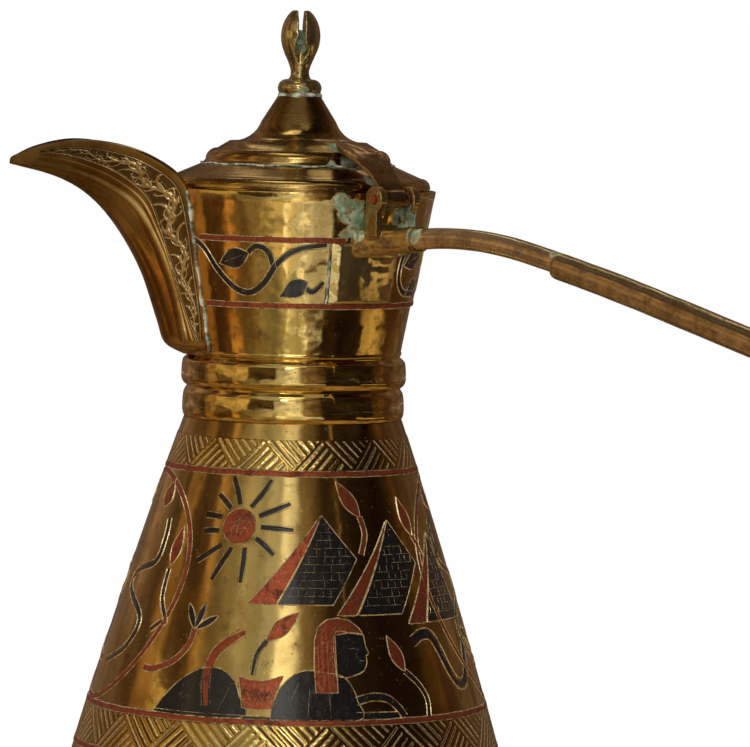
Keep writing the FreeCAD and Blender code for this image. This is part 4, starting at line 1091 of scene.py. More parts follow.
figure = {
    "haunch": ((-41, 55.8), (-37.5, 60.2), (-33.8, 63.8), (-30, 66.2), (-26.4, 67.6), (-23, 68.0),
               (-19.6, 67.4), (-16.2, 65.2), (-14.2, 61.4), (-13.4, 55.8)),
    "chest": ((-4.4, 55.4), (-3.8, 59.5), (-1.6, 63.8), (2.0, 66.8), (6.0, 68.0), (12.0, 67.4), (16.5, 66.6),
              (19.2, 64.0), (20.6, 60.4), (20.4, 55.4)),
    "blanket": ((-14.4, 66.2), (-11.0, 65.3), (-7.0, 65.2), (-3.6, 65.8), (-1.4, 66.6), (-3.2, 62.4),
                (-4.6, 58.4), (-8.6, 58.0), (-12.8, 58.4), (-13.4, 62.4)),
    "face": ((14.9, 66.9), (17.8, 66.5), (20.4, 67.0), (23.2, 67.9), (24.5, 69.4), (24.8, 70.9), (24.7, 71.8),
             (25.6, 72.5), (24.9, 74.2), (24.7, 75.8), (24.0, 77.2), (19.5, 77.7), (14.9, 77.2)),
    "cloth": ((8.6, 62.6), (8.3, 69.0), (8.6, 76.0), (9.8, 79.2), (12.6, 80.9), (16.2, 81.4), (20.2, 80.7),
              (23.0, 79.0), (24.5, 77.3), (19.5, 77.9), (14.9, 77.3), (14.8, 70.0), (14.9, 62.6)),
    "tail": ((-13.8, 77.6), (-18.6, 75.2), (-22.9, 71.7), (-24.8, 66.0), (-23.6, 58.3)),
    "forelegs": (((20.2, 60.2), (25.5, 61.2), (30.5, 60.6), (33.8, 58.2), (35.6, 55.8)),
                 ((20.0, 56.4), (27.0, 56.3), (33.0, 56.2))),
    "ground": ((-40.5, 55.7), (-25.0, 55.6), (-4.0, 55.6)),
    "creases": (((6.0, 56.0), (6.6, 63.5)), ((12.6, 56.0), (12.4, 62.0)), ((1.0, 60.0), (3.4, 65.0)),
                ((-20.0, 57.0), (-17.0, 63.5)), ((19.0, 73.6), (21.4, 73.8)), ((22.4, 70.6), (24.0, 70.5))),
    "tailWidths": (0.9, 2.0, 2.2, 2.0, 1.2), "legWidths": (1.7, 1.5, 1.2), "groundWidths": (1.0, 1.2, 1.0),
    "creaseHalf": 0.15, "creaseHigh": 0.22, "cutHalf": 0.14, "cutHigh": 0.26,
    "lattice": {"count": 7, "left": -13.4, "step": 1.75, "low": 59.0, "high": 65.0, "over": 3.6,
                "endHigh": -3.2, "endLow": -4.4},
    "pleats": {"count": 4, "line": ((9.5, 63.2), (9.4, 75.6)), "step": 1.45},
    "folds": {"line": ((9.8, 79.0), (12.6, 77.9)), "step": 3.3, "wave": 0.5},
}
loneNeck = {"line": ((43.5, 74.8), (48.0, 76.4), (52.6, 75.8), (55.8, 71.6), (58.8, 66.2), (62.4, 62.8),
                     (66.6, 62.8), (70.4, 66.4), (73.6, 71.8), (77.6, 75.2), (82.0, 73.2), (85.0, 69.0)),
            "widths": (1.4, 2.6, 1.9, 1.5, 1.6, 1.7, 1.9, 1.6, 1.2), "farWidths": (1.4, 1.9, 1.5, 1.6, 1.2),
            "farFall": 1.0}
medallion = {"phi": -78.0, "low": 56.0, "high": 117.0, "half": 26.5, "line": 1.2,
             "stem": ((-57.0, 105.0), (-56.0, 100.0), (-58.0, 93.7), (-70.0, 90.4),
                      (-72.0, 86.0), (-58.0, 78.8), (-62.0, 70.7), (-74.0, 66.0)),
             "flower": ((-61.5, 115.2), (-64.5, 107.8)), "stemWidths": (1.2, 1.6, 1.4, 1.5, 1.1),
             "flowerWide": 2.4, "flowerLean": 0.6}
sprig = {"stem": ((-49.0, 66.4), (-44.7, 66.4), (-37.4, 69.0), (-32.8, 73.3), (-31.6, 77.4)),
         "foot": (-31.5, 77.4), "petals": ((-35.2, 83.8), (-29.0, 84.2), (-23.8, 81.2)),
         "widths": (1.3, 1.2, 1.1), "petalWide": 0.75, "petalLean": 0.45}
relief = {"low": -0.06, "black": 0.10, "copper": 0.15, "burr": 0.26, "burrHalf": 0.25, "burrOut": 0.15,
          "flat": 0.9, "shoulder": 0.03, "endHigh": 0.72, "least": 0.85, "uneven": 0.3, "edgeStep": 0.7,
          "scratchStep": 0.9, "bend": (1.4, 4.0)}
# turn that sets a picture on the other side of the pot
farSide = 172.0
pictureNodes = {"copper": ("sun_disc", "pyramid_bright_faces", "medallion_frame", "lotus_buds"),
                "black": ("sun_rays", "pyramid_shade_faces", "lotus_stems")}


# meshes that grow together: copper, black, bright burrs
class Picture:
    def __init__(self, radiusAt):
        self.radiusAt = radiusAt
        self.copper, self.black, self.burr = bmesh.new(), bmesh.new(), bmesh.new()

    def sheet(self, dark):                                # mesh and height of a filling
        return (self.black, relief["black"]) if dark else (self.copper, relief["copper"])

    def fill(self, outline, dark, rounded=False, turn=0.0):
        outline = [(phi + turn, z) for phi, z in outline]
        if rounded:
            outline = smoothLine(outline + [outline[0]], 5)[:-1]
        mesh, high = self.sheet(dark)
        addPlate(mesh, outline, self.radiusAt, relief["low"], high)
        edge = dense(outline, relief["edgeStep"], self.radiusAt)
        area = sum(a[0] * b[1] - b[0] * a[1] for a, b in zip(edge, edge[1:] + edge[:1]))
        out = -relief["burrOut"] if area > 0 else relief["burrOut"]
        addRidge(self.burr, edge, out, relief["burrHalf"], self.radiusAt, relief["burr"], True)

    def stroke(self, points, widths, dark, turn=0.0, burrs=0.8, closed=False):
        line = [(phi + turn, z) for phi, z in points]
        line = line if closed else smoothLine(line, 8)
        mesh, high = self.sheet(dark)
        addStroke(mesh, line, widths, self.radiusAt, relief["low"], high, closed)
        out = max(widths) / 2 + relief["burrOut"]
        half, top = relief["burrHalf"] * burrs, relief["burr"] * burrs
        for sign in (-1, 1):
            addRidge(self.burr, line, sign * out, half, self.radiusAt, top, closed)

    def scratch(self, points, half, high, turn=0.0):
        line = [(phi + turn, z) for phi, z in points]
        line = dense(line, relief["scratchStep"], self.radiusAt, False)
        addRidge(self.burr, line, 0.0, half, self.radiusAt, high)

    def bud(self, bud, turn=0.0):
        outline = leafOutline(bud["tip"], bud["foot"], budShape["wide"], self.radiusAt, budShape["lean"])
        self.fill(outline, False, False, turn)
        self.stroke(bud["stem"], budShape["stem"], not bud["copperStem"], turn)

    def done(self, label):
        kinds = (("copper", self.copper, "copper_inlay", "copper"),
                 ("black", self.black, "black_inlay", "black"),
                 ("burr", self.burr, "polished_brass", "rim"))
        for kind, mesh, slot, finish in kinds:
            yield kind, placed(made(label + kind.capitalize(), mesh, 50), "pot", slot, finishes[finish])


def sunPicture(picture, turn):
    scale, width, bend = math.radians(1) * bellyR(sun["z"]), sun["width"], sun["bend"]

    def spread(points):                                   # millimetres from the sun's middle, on the belly
        return [(sun["phi"] + x / scale, sun["z"] + z) for x, z in points]

    angles = [math.tau * i / 40 for i in range(40)]
    disc = [(sun["phi"] + sun["r"] * math.cos(t) / scale, sun["z"] + sun["r"] * math.sin(t)) for t in angles]
    picture.fill(disc, False, False, turn)
    for start, end in sun["rays"]:
        middle = tuple(between(c, d, 0.5) + rng.uniform(-bend, bend) for c, d in zip(start, end))
        picture.stroke(spread((start, middle, end)), (width, width * 1.1, width * 0.8), True, turn, 0.5)
    for ends in sun["scratches"]:
        picture.scratch(spread(ends), sun["scratchHalf"], sun["scratchHigh"], turn)


def pyramidPicture(picture, turn):
    seam, rows, shake, lean = (stones[key] for key in ("seam", "rows", "shake", "jointLean"))
    for spec in pyramids:
        apex, left, split, right, corner = (spec[key] for key in ("apex", "left", "split", "right", "corner"))
        picture.fill([(apex[0] - seam, apex[1]), left, (split[0] - seam, split[1])], False, False, turn)
        shade = [apex, (split[0] + seam, split[1]), right] + ([corner] if corner != right else [])
        picture.fill(shade, True, False, turn)
        height = (apex[1] - split[1]) / rows
        for row in range(1, rows):                        # courses of stone scratched through the black
            share = row / rows
            z = between(apex[1], split[1], share)
            start = between(apex[0], split[0], share) + 2 * seam
            if z > corner[1]:
                end = between(apex[0], corner[0], (apex[1] - z) / (apex[1] - corner[1])) - 2 * seam
            else:
                fall = (corner[1] - z) / max(0.1, corner[1] - right[1])
                end = between(corner[0], right[0], fall) - 2 * seam
            step = rng.uniform(0, stones["shift"])
            x = start
            while x < end - stones["least"]:
                length = min(end - x, rng.uniform(*stones["long"]))
                if rng.random() < stones["cut"]:
                    line = [(x + d, z + rng.uniform(-shake, shake)) for d in (0, length)]
                    picture.scratch(line, stones["lineHalf"], relief["black"] + stones["lineHigh"], turn)
                x += length + rng.uniform(*stones["gap"])
            x = start + stones["jointFirst"] + (row % 2) * stones["stagger"] + step
            while x < end - stones["jointLeast"]:
                if rng.random() < stones["jointCut"]:
                    line = [(x, z), (x + rng.uniform(-lean, lean), z + height * stones["jointTall"])]
                    picture.scratch(line, stones["jointHalf"], relief["black"] + stones["jointHigh"], turn)
                x += rng.uniform(*stones["joint"])


def figurePicture(picture):
    for part, dark in (("haunch", True), ("chest", True), ("blanket", False), ("face", True),
                       ("cloth", False)):
        picture.fill(figure[part], dark, dark)            # the black parts are rounded
    picture.stroke(figure["tail"], figure["tailWidths"], False)
    for leg in figure["forelegs"]:
        picture.stroke(leg, figure["legWidths"], True)
    picture.stroke(figure["ground"], figure["groundWidths"], True)
    cutSize = figure["cutHalf"], figure["cutHigh"]
    lattice, pleats, folds = figure["lattice"], figure["pleats"], figure["folds"]
    low, high = lattice["low"], lattice["high"]
    for i in range(lattice["count"]):                     # lattice of the blanket
        x = lattice["left"] + i * lattice["step"]
        over = x + lattice["over"]
        picture.scratch([(x, low), (min(lattice["endHigh"], over), high)], *cutSize)
        picture.scratch([(x, high), (min(lattice["endLow"], over), low)], *cutSize)
    for i in range(pleats["count"]):                      # pleats and folds of the head cloth
        picture.scratch([(phi + i * pleats["step"], z) for phi, z in pleats["line"]], *cutSize)
        (a, za), (b, zb) = folds["line"]
        over = i * folds["step"]
        picture.scratch([(a + over, za + folds["wave"] * math.sin(i)), (b + over, zb)], *cutSize)
    for ends in figure["creases"]:
        picture.scratch(ends, figure["creaseHalf"], figure["creaseHigh"])


def medallionPicture(picture, turn):
    phi, low, high = medallion["phi"], medallion["low"], medallion["high"]
    oval, count = [], 120
    for i in range(count):                                # an oval as seen from in front of it
        t = math.tau * i / count
        z = (low + high) / 2 + (high - low) / 2 * math.sin(t)
        lean = medallion["half"] * math.cos(t) / bellyR(z)
        oval.append((phi + math.degrees(math.asin(lean)) + turn, z))
    picture.stroke(oval, (medallion["line"],), False, 0.0, 0.6, True)
    for mirror in (False, True):
        stem, flower = ([(2 * phi - p, z) if mirror else (p, z) for p, z in medallion[key]]
                        for key in ("stem", "flower"))
        picture.stroke(stem, medallion["stemWidths"], True, turn)
        outline = leafOutline(*flower, medallion["flowerWide"], bellyR, medallion["flowerLean"])
        picture.fill(outline, False, False, turn)


def bellyPictures():
    picture = Picture(bellyR)
    for turn in (0.0, farSide):
        sunPicture(picture, turn)
        pyramidPicture(picture, turn)
        for bud in buds:
            picture.bud(bud, turn)
    figurePicture(picture)
    picture.stroke(loneNeck["line"], loneNeck["widths"], True)
    lower = [(phi, z - loneNeck["farFall"]) for phi, z in loneNeck["line"]]
    picture.stroke(lower, loneNeck["farWidths"], True, farSide)
    for turn in (0.0, farSide):
        medallionPicture(picture, turn)
        picture.stroke(sprig["stem"], sprig["widths"], False, turn)
        for petal in sprig["petals"]:
            outline = leafOutline(petal, sprig["foot"], sprig["petalWide"], bellyR, sprig["petalLean"])
            picture.fill(outline, True, False, turn)
    for kind, piece in picture.done("picture"):
        if kind in pictureNodes:
            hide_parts(*pictureNodes[kind])
    print("pictures inlaid on the belly")


# vine on the neck, between its two copper lines, and the blank plate beside it
vine = {"middle": 172.4, "height": 6.6, "period": 72.0, "lowAt": 76.2, "start": 82.0, "end": 226.0,
        "step": 6, "widths": (1.2, 1.4, 1.4, 1.2), "leafTurns": (0.0, 95.0, 172.0, 244.0),
        "budTurns": (0.0, 72.0, 144.0, 216.0), "stemless": 72.0,
        "front": ((-58.0, 181.0), (-46.5, 178.2), (-38.3, 172.0), (-29.5, 167.3), (-21.6, 166.2),
                  (-14.6, 168.9), (-8.8, 173.8), (-2.0, 177.2), (5.0, 178.6), (13.4, 179.3)),
        "right": ((60.0, 179.6), (56.8, 176.4), (55.6, 172.6), (57.0, 169.0), (61.5, 166.6), (68.5, 165.9),
                  (76.2, 165.8)), "leaf": ((-36.6, 173.6), (-21.6, 176.6)),
        "curl": ((-21.9, 176.6), (-18.6, 178.4), (-14.6, 178.2), (-11.6, 176.2), (-10.2, 172.8)),
        "bud": ((-7.4, 165.2), (5.4, 169.2)),
        "budStem": ((4.2, 167.9), (7.0, 166.8), (9.6, 167.2), (12.9, 169.4)),
        "leafShape": (2.5, neckR, 0.55), "budShape": (2.3, neckR, 0.6), "curlWidths": (1.1, 1.3, 1.3, 1.2),
        "budWidths": (1.2, 1.3, 1.0), "veinEnds": (0.15, 0.8), "veinHalf": 0.14, "veinHigh": 0.22}
plateSpan = (16.0, 52.0)
blankPlate = {"low": 163.4, "high": 179.8, "thick": 0.62, "left": 2.2, "right": 1.4, "ends": 0.5,
              "seat": 0.04, "beaten": 0.05, "back": 0.12, "columns": 96, "rows": 48}


def bentPlate():                                          # thin sheet whose edges are beaten down to the neck
    mesh, grid = bmesh.new(), []
    columns, rows, tall = blankPlate["columns"], blankPlate["rows"], blankPlate["high"] - blankPlate["low"]
    for j in range(rows + 1):
        z = between(blankPlate["low"], blankPlate["high"], j / rows)
        width = math.radians(plateSpan[1] - plateSpan[0]) * neckR(z)
        ends = min(j, rows - j) / rows * tall / blankPlate["ends"]
        line = []
        for i in range(columns + 1):
            t = i / columns
            rise = min(1, t * width / blankPlate["left"], (1 - t) * width / blankPlate["right"], ends)
            beaten = blankPlate["beaten"] * noise.noise(Vector((t * width * 0.35, z * 0.3, 4.0)))
            lift = blankPlate["seat"] + blankPlate["thick"] * rise + beaten * rise
            line.append(mesh.verts.new(onSkin(neckR, between(*plateSpan, t), z, lift)))
        grid.append(line)
    gridFaces(mesh, grid)
    edge = grid[0] + [line[-1] for line in grid[1:]] + grid[-1][-2::-1] + [line[0] for line in grid[-2:0:-1]]
    back = []
    for vertex in edge:
        out = Vector((vertex.co.x, vertex.co.y, 0)).normalized()
        back.append(mesh.verts.new(vertex.co - out * blankPlate["back"] * mm))
    for i in range(len(edge)):
        k = (i + 1) % len(edge)
        mesh.faces.new((edge[i], edge[k], back[k], back[i]))
    mesh.faces.new(back)
    placed(made("blankPlate", mesh, 30), "pot", "polished_brass", finishes["plate"], "handle_plate")


def neckVine():
    picture = Picture(neckR)
    picture.stroke(vine["front"], vine["widths"], True)
    count = int((vine["end"] - vine["start"]) / vine["step"])
    wave = list(vine["right"])
    for i in range(count + 1):
        phi = between(vine["start"], vine["end"], i / count)
        bow = math.cos(math.tau * (phi - vine["lowAt"]) / vine["period"])
        wave.append((phi, vine["middle"] - vine["height"] * bow))
    picture.stroke(wave, vine["widths"], True)
    for turn in vine["leafTurns"]:
        picture.fill(leafOutline(*vine["leaf"], *vine["leafShape"]), True, False, turn)
        picture.stroke(vine["curl"], vine["curlWidths"], True, turn)
        (tipPhi, tipZ), (basePhi, baseZ) = ((phi + turn, z) for phi, z in vine["leaf"])
        vein = [(between(tipPhi, basePhi, end), between(tipZ, baseZ, end)) for end in vine["veinEnds"]]
        picture.scratch(vein, vine["veinHalf"], vine["veinHigh"])
    for turn in vine["budTurns"]:
        picture.fill(leafOutline(*vine["bud"], *vine["budShape"]), True, False, turn)
        if turn != vine["stemless"]:
            picture.stroke(vine["budStem"], vine["budWidths"], True, turn)
    for _, piece in list(picture.done("vine")):           # the vine has no copper
        if not piece.data.polygons:
            bpy.data.objects.remove(piece)
    print("vine inlaid on the neck")


# copper lines with punched edges
copperLines = {"width": 1.2, "high": 0.24, "beadStep": 1.1, "waver": 0.05, "beadOut": 0.72, "beadHalf": 0.2,
               "beadHigh": 0.2, "punched": 0.55, "round": ((-282.0, 78.0),),
               "underSpout": ((-47.5, 222.0),), "byPlate": ((-47.5, 21.6), (52.4, 222.0))}
lineRings = {"neck_line_upper": (180.4, "byPlate"), "neck_line_lower": (162.8, "underSpout"),
             "shoulder_line": (118.5, "round"), "belly_line_upper": (54.8, "round"),
             "belly_line_lower": (43.6, "round")}


def copperLine(node, z, span):
    words = node.split("_")
    radiusAt = neckR if words[0] == "neck" else bellyR
    closed = span == "round"
    mesh, burr = bmesh.new(), bmesh.new()
    for low, high in copperLines[span]:
        count = int((high - low) * math.radians(1) * radiusAt(z) / copperLines["beadStep"])
        steps = range(count if closed else count + 1)
        points = [(between(low, high, i / count), z + copperLines["waver"] * math.sin(i * 0.7))
                  for i in steps]
        addStroke(mesh, points, (copperLines["width"],), radiusAt, relief["low"], copperLines["high"], closed)
        for sign in (-1, 1):
            addRidge(burr, points, sign * copperLines["beadOut"], copperLines["beadHalf"], radiusAt,
                     copperLines["beadHigh"], closed, copperLines["punched"])
    line = made(words[0] + "".join(word.capitalize() for word in words[1:]), mesh, 60)
    placed(line, "pot", "copper_inlay", finishes["copper"], node)
    beads = made(words[0] + words[-1].capitalize() + "Beads", burr, 60)
    placed(beads, "pot", "polished_brass", finishes["rim"])


# woven bands of bright cuts, in triangles that lean both ways
bands = ({"name": "shoulderWeave", "low": 119.2, "high": 127.3, "periods": 13, "cut": 2.7},
         {"name": "bellyWeave", "low": 44.3, "high": 54.1, "periods": 17, "cut": 3.1})
cuts = {"columns": 80, "rows": 40, "top": 0.15, "depth": 0.24, "width": 0.34, "sunk": -0.08, "sideSoft": 0.5,
        "edgeSoft": 0.45, "shake": 0.02, "faint": 0.5}


def wovenBand(band):
    mesh = bmesh.new()
    layer = mesh.verts.layers.float.new("relief")
    columns, rows = cuts["columns"], cuts["rows"]
    total, height = band["periods"] * columns, band["high"] - band["low"]
    width = math.tau * bellyR((band["low"] + band["high"]) / 2) / band["periods"]
    strokes = round(width / band["cut"])
    loops = []
    for i in range(total):
        loop = []
        period, across = i // columns, (i % columns) / columns
        for j in range(rows + 1):
            up = j / rows
            left, right = up / 2, 1 - up / 2              # the two sides of the standing triangle
            standing = left <= across <= right
            if standing:
                along, room = across - left, min(across - left, right - across)
            else:
                along = (across - right) % 1
                room = min(along, (left + 1 - across) % 1 if across > right else left - across)
            number = along * strokes + cuts["shake"] * math.sin(i * 0.21 + j)
            stroke = math.floor(number)
            gap = abs(number - stroke - 0.5)
            fade = min(1, room * width / cuts["sideSoft"], min(up, 1 - up) * height / cuts["edgeSoft"])
            hand = abs(noise.cell(Vector((period * 3.7 + stroke * 1.3, standing * 5.1, band["low"]))))
            cut = max(0, 1 - gap / cuts["width"]) * fade * between(cuts["faint"], 1, hand)
            lift = cuts["sunk"] if j in (0, rows) else cuts["top"] - cuts["depth"] * cut
            z = between(band["low"], band["high"], up)
            vertex = mesh.verts.new(onSkin(bellyR, 360 * i / total, z, lift))
            vertex[layer] = 1 - cut
            loop.append(vertex)
        loops.append(loop)
    tube(mesh, loops, True)
    return placed(made(band["name"], mesh, 80), "pot", "polished_brass", finishes["weave"])


# solder that has crept and greened along the joints
seams = {
    "finialSolder": {"thick": 0.70, "r": 5.2, "z": 218.2},
    "drumSolder": {"thick": 0.26, "r": 26.05, "z": 199.75},
}
spoutSeam = {"thick": 0.46, "low": 149.2, "high": 192.6, "points": 100, "lift": 0.12}
plateSeam = {"thick": 0.34, "low": 163.5, "high": 180.0, "points": 41, "lift": 0.05, "aside": 1.0}
forkCrust = {"z": 233.7, "size": (1.35, 1.9, 2.1), "lumps": 0.16, "scale": 1100}
lumps = {"least": 0.62, "more": 0.75, "scale": 420, "end": 0.25, "endSteps": 3, "step": 0.45}


def lumpyLine(mesh, points, thick, closed=False, sides=8):
    loops, count = [], len(points)
    for i, point in enumerate(points):
        a = points[i - 1] if closed else points[max(0, i - 1)]
        b = points[(i + 1) % count] if closed else points[min(count - 1, i + 1)]
        along = (b - a).normalized()
        side = along.cross(Vector((0.31, 0.52, 0.79))).normalized()
        up = side.cross(along)
        swell = max(0, 0.5 + noise.noise(point * lumps["scale"]))
        size = thick * mm * (lumps["least"] + lumps["more"] * swell)
        if not closed:
            size *= min(1, lumps["end"] + min(i, count - 1 - i) / lumps["endSteps"])
        angles = [math.tau * k / sides for k in range(sides)]
        loops.append([mesh.verts.new(point + (side * math.cos(t) + up * math.sin(t)) * size) for t in angles])
    tube(mesh, loops, closed)


def soldered(name, body, lines, thick, closed=False):
    mesh = bmesh.new()
    for line in lines:
        lumpyLine(mesh, line, thick, closed)
    placed(made(name, mesh, 70), body, "aged_brass", finishes["solder"])


def solderSeams():
    for name, seam in seams.items():
        count = int(math.tau * seam["r"] / lumps["step"])
        ring = [turned(360 * i / count, seam["r"] + 0.15 * math.sin(i * 0.37),
                       seam["z"] + 0.12 * math.sin(i * 0.23)) for i in range(count)]
        soldered(name, "lid", [ring], seam["thick"], True)
    bpy.ops.mesh.primitive_uv_sphere_add(segments=32, ring_count=20, radius=mm,
                                         rotation=(0, 0, math.radians(front)))
    crust = bpy.context.object                            # verdigris that fills the foot of the finial's slot
    crust.name = crust.data.name = "forkCrust"
    crust.scale = forkCrust["size"]
    bpy.ops.object.transform_apply(rotation=True, scale=True)
    for vertex in crust.data.vertices:
        vertex.co *= 1 + forkCrust["lumps"] * noise.noise(vertex.co * forkCrust["scale"])
        vertex.co.z += forkCrust["z"] * mm
    placed(crust, "lid", "aged_brass", finishes["solder"])
    sides = ([], [])
    for sign, line in zip((-1, 1), sides):                # along both edges of the spout
        for i in range(spoutSeam["points"]):
            z = between(spoutSeam["low"], spoutSeam["high"], i / (spoutSeam["points"] - 1))
            away = beak["halfAngle"] - 0.3 + 0.35 * math.sin(i * 0.31)
            line.append(turned(180 + sign * away, neckR(z) + spoutSeam["lift"], z))
    soldered("spoutSolder", "pot", sides, spoutSeam["thick"])
    upright = []
    for i in range(plateSeam["points"]):                  # left of the blank plate
        z = between(plateSeam["low"], plateSeam["high"], i / (plateSeam["points"] - 1))
        phi = plateSpan[0] - plateSeam["aside"] + 0.25 * math.sin(z * 2.1)
        upright.append(onSkin(neckR, phi, z, plateSeam["lift"]))
    soldered("plateSolder", "pot", [upright], plateSeam["thick"])
    print("solder run along the joints")


pinEdge = {"round": 0.3, "sharp": 50}                     # millimetres, and degrees between faces


def hingePin():                                           # the drawn pin, with its edges rounded
    pin = linked("hingePin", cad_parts["hinge_pin"].data.copy())
    closeAndSmooth(pin)
    applied(pin, "BEVEL", width=pinEdge["round"] * mm, segments=3, limit_method="ANGLE",
            angle_limit=math.radians(pinEdge["sharp"]))
    placed(pin, "pot", "copper_inlay", finishes["copper"], "hinge_pin")


def buildPot():
    turnedBodies()
    neckWall()
    lidPieces()
    for node, spec in castings.items():
        castPiece(node, spec)
    handlePieces()
    spoutBody()
    for side in (-1, 1):
        carvedCheek(side)
    print("spout carved")
    bentPlate()
    hingePin()
    bellyPictures()
    neckVine()
    for node, (z, span) in lineRings.items():
        copperLine(node, z, span)
    for band in bands:
        wovenBand(band)
    solderSeams()


buildPot()

# plain stage: white paper and sky, soft lamps, and a surround that only the metal sees
camera = {"distance": 1.458, "height": 0.2295, "aim": 0.022, "aimZ": 0.1436, "roll": 1.25, "lens": 259.2,
          "sensor": 36.0, "far": 50.0}
lamps = {
    "keyLamp": {"place": (-0.35, 1.1, 1.25), "size": (0.9, 0.9), "power": 16},
    "sideLamp": {"place": (-1.5, 0.5, 0.7), "size": (0.8, 1.2), "power": 8},
    "backLamp": {"place": (0.9, -1.1, 1.1), "size": (0.9, 0.9), "power": 9},
}
lampAim, lampColour = Vector((0, 0, 0.12)), (1.0, 0.96, 0.90)
stage = {"floor": 14, "tentR": 2.6, "apronR": 2.55, "apronZ": 0.0004, "sky": 0.45, "skySeen": 0.55}
paper = {"colour": (0.9, 0.9, 0.9, 1), "litTo": 0.10, "whiteFrom": 0.34}
# the surround, a warm dark room with a window behind the camera: degrees from the camera, right positive
surround = ((-180, (0.10, 0.06, 0.04)), (-132, (0.26, 0.17, 0.12)), (-106, (0.07, 0.04, 0.025)),
            (-99, (0.34, 0.19, 0.08)), (-91, (0.32, 0.18, 0.07)), (-86, (0.10, 0.055, 0.03)),
            (-69, (0.11, 0.06, 0.034)), (-65, (0.58, 0.34, 0.13)), (-61, (0.55, 0.33, 0.13)),
            (-57, (0.20, 0.14, 0.075)), (-47, (0.34, 0.27, 0.16)), (-26, (0.48, 0.45, 0.34)),
            (-10, (0.66, 0.63, 0.53)), (-6, (1.15, 1.12, 1.02)), (4, (1.15, 1.12, 1.02)),
            (8, (0.32, 0.24, 0.15)), (24, (0.13, 0.08, 0.045)), (30, (0.030, 0.020, 0.013)),
            (88, (0.020, 0.012, 0.008)), (96, (0.075, 0.04, 0.015)), (105, (0.10, 0.05, 0.02)),
            (110, (0.06, 0.03, 0.02)), (128, (0.14, 0.09, 0.06)), (180, (0.10, 0.06, 0.04)))
glow = {"low": 0.84, "high": 0.95, "top": 0.36, "mottle": 0.6, "cells": 0.8, "clutter": 2.5, "eye": 0.16,
        "rise": (-0.16, 0.20), "fall": (0.55, 0.78), "waver": 0.02, "columns": 17, "rows": 7}
table = {"edge": -0.37, "edgeSoft": 0.02, "colour": (0.30, 0.185, 0.075, 1), "tint": (1.0, 0.84, 0.60, 1),
         "tintEnd": (-0.20, -0.10)}
cardSoft = {"sides": 0.004, "ends": 0.012}
# cards in the room: left and right in degrees, low and high as the sine of their slope, colour, raggedness
panels = ((-90, -47, -0.02, 0.26, (0.50, 0.36, 0.15, 1), 0.01),
          (-47, -16, -0.02, 0.26, (0.10, 0.065, 0.03, 1), 0.01),
          (72, 110, -0.275, -0.214, (0.46, 0.32, 0.13, 1), 0.008),
          (-34, 12, -0.365, -0.272, (0.44, 0.39, 0.23, 1), 0.05),
          (-4, 28, -0.285, -0.19, (0.95, 0.92, 0.84, 1), 0.10),
          (-9, -1, 0.245, 0.30, (15.0, 14.2, 12.6, 1), 0.0),
          (-13, 12, 0.60, 0.66, (4.6, 4.2, 3.6, 1), 0.0),
          (-20, 10, 0.67, 0.88, (0.36, 0.28, 0.16, 1), 0.02),
          (10, 46, 0.67, 0.88, (0.74, 0.62, 0.38, 1), 0.06),
          (-112, 18, 0.90, 0.985, (3.9, 3.6, 2.8, 1), 0.03),
          (-200, -165, 0.585, 0.76, (0.90, 0.79, 0.54, 1), 0.02),
          (165, 200, 0.585, 0.76, (0.90, 0.79, 0.54, 1), 0.02))


# degrees from the camera as a share of the full turn
def turnShare(angle):
    return angle / 360 + 0.5


def surroundFinish():
    finish = Finish("surround")
    point = finish.place()
    ahead, right = (finish.measured("DOT_PRODUCT", point, way) for way in (toCamera, toRight))
    mottle = finish.cloud(finish.stretched(point, (1.0, 1.0, 0.7)), 1.7, 4.0, 0.55)
    turn = right.angleFrom(ahead) * (1 / math.tau) + 0.5 + (mottle - 0.5) * glow["waver"]
    length = finish.measured("LENGTH", point)
    height = finish.node("ShaderNodeSeparateXYZ", {}, {0: point}, "Z") / length
    # sine of the slope at which the pot sees it
    height = height - glow["eye"] / (length + glow["eye"])
    stops = [(turnShare(angle), (*colour, 1)) for angle, colour in surround]
    colour = finish.node("ShaderNodeValToRGB", {"stops": stops}, {0: turn})
    tint = finish.mixed(finish.above(height, *table["tintEnd"]), table["tint"], (1, 1, 1, 1))
    colour = finish.times(colour, tint)
    over = finish.above(height, table["edge"], table["edge"] + table["edgeSoft"])
    colour = finish.mixed(1 - over, colour, table["colour"])
    grid = finish.node("ShaderNodeCombineXYZ", {}, {0: turn * glow["columns"], 1: height * glow["rows"]})
    clutter = finish.cloud(grid, 1.4, 5.0, 0.6)
    for left, end, low, high, card, ragged in panels:
        shaken = (clutter - 0.5) * ragged
        across = finish.within(turn + shaken, turnShare(left), turnShare(end), cardSoft["sides"])
        upright = finish.within(height + shaken, low, high, cardSoft["ends"])
        colour = finish.mixed(across * upright, colour, card)
    level = glow["low"] + finish.above(height, *glow["rise"]) * (glow["high"] - glow["low"])
    level = level + finish.above(height, *glow["fall"]) * (glow["top"] - glow["high"])
    settings = {"voronoi_dimensions": "2D", "distance": "CHEBYCHEV"}
    cell = finish.node("ShaderNodeTexVoronoi", settings, {"Vector": grid, "Scale": 1.0}, "Color")
    shade = finish.node("ShaderNodeSeparateColor", {}, {0: cell}, 0)
    level = level * ((mottle - 0.5) * (2 * glow["mottle"]) + 1.0) * ((shade - 0.5) * glow["cells"] + 1.0)
    level = level * ((clutter - 0.5) * glow["clutter"] + 1.0).most(0.1)
    light = finish.node("ShaderNodeEmission", {}, {"Color": finish.times(colour, level), "Strength": 1.0})
    finish.node("ShaderNodeOutputMaterial", {}, {"Surface": light})
    return finish.owner


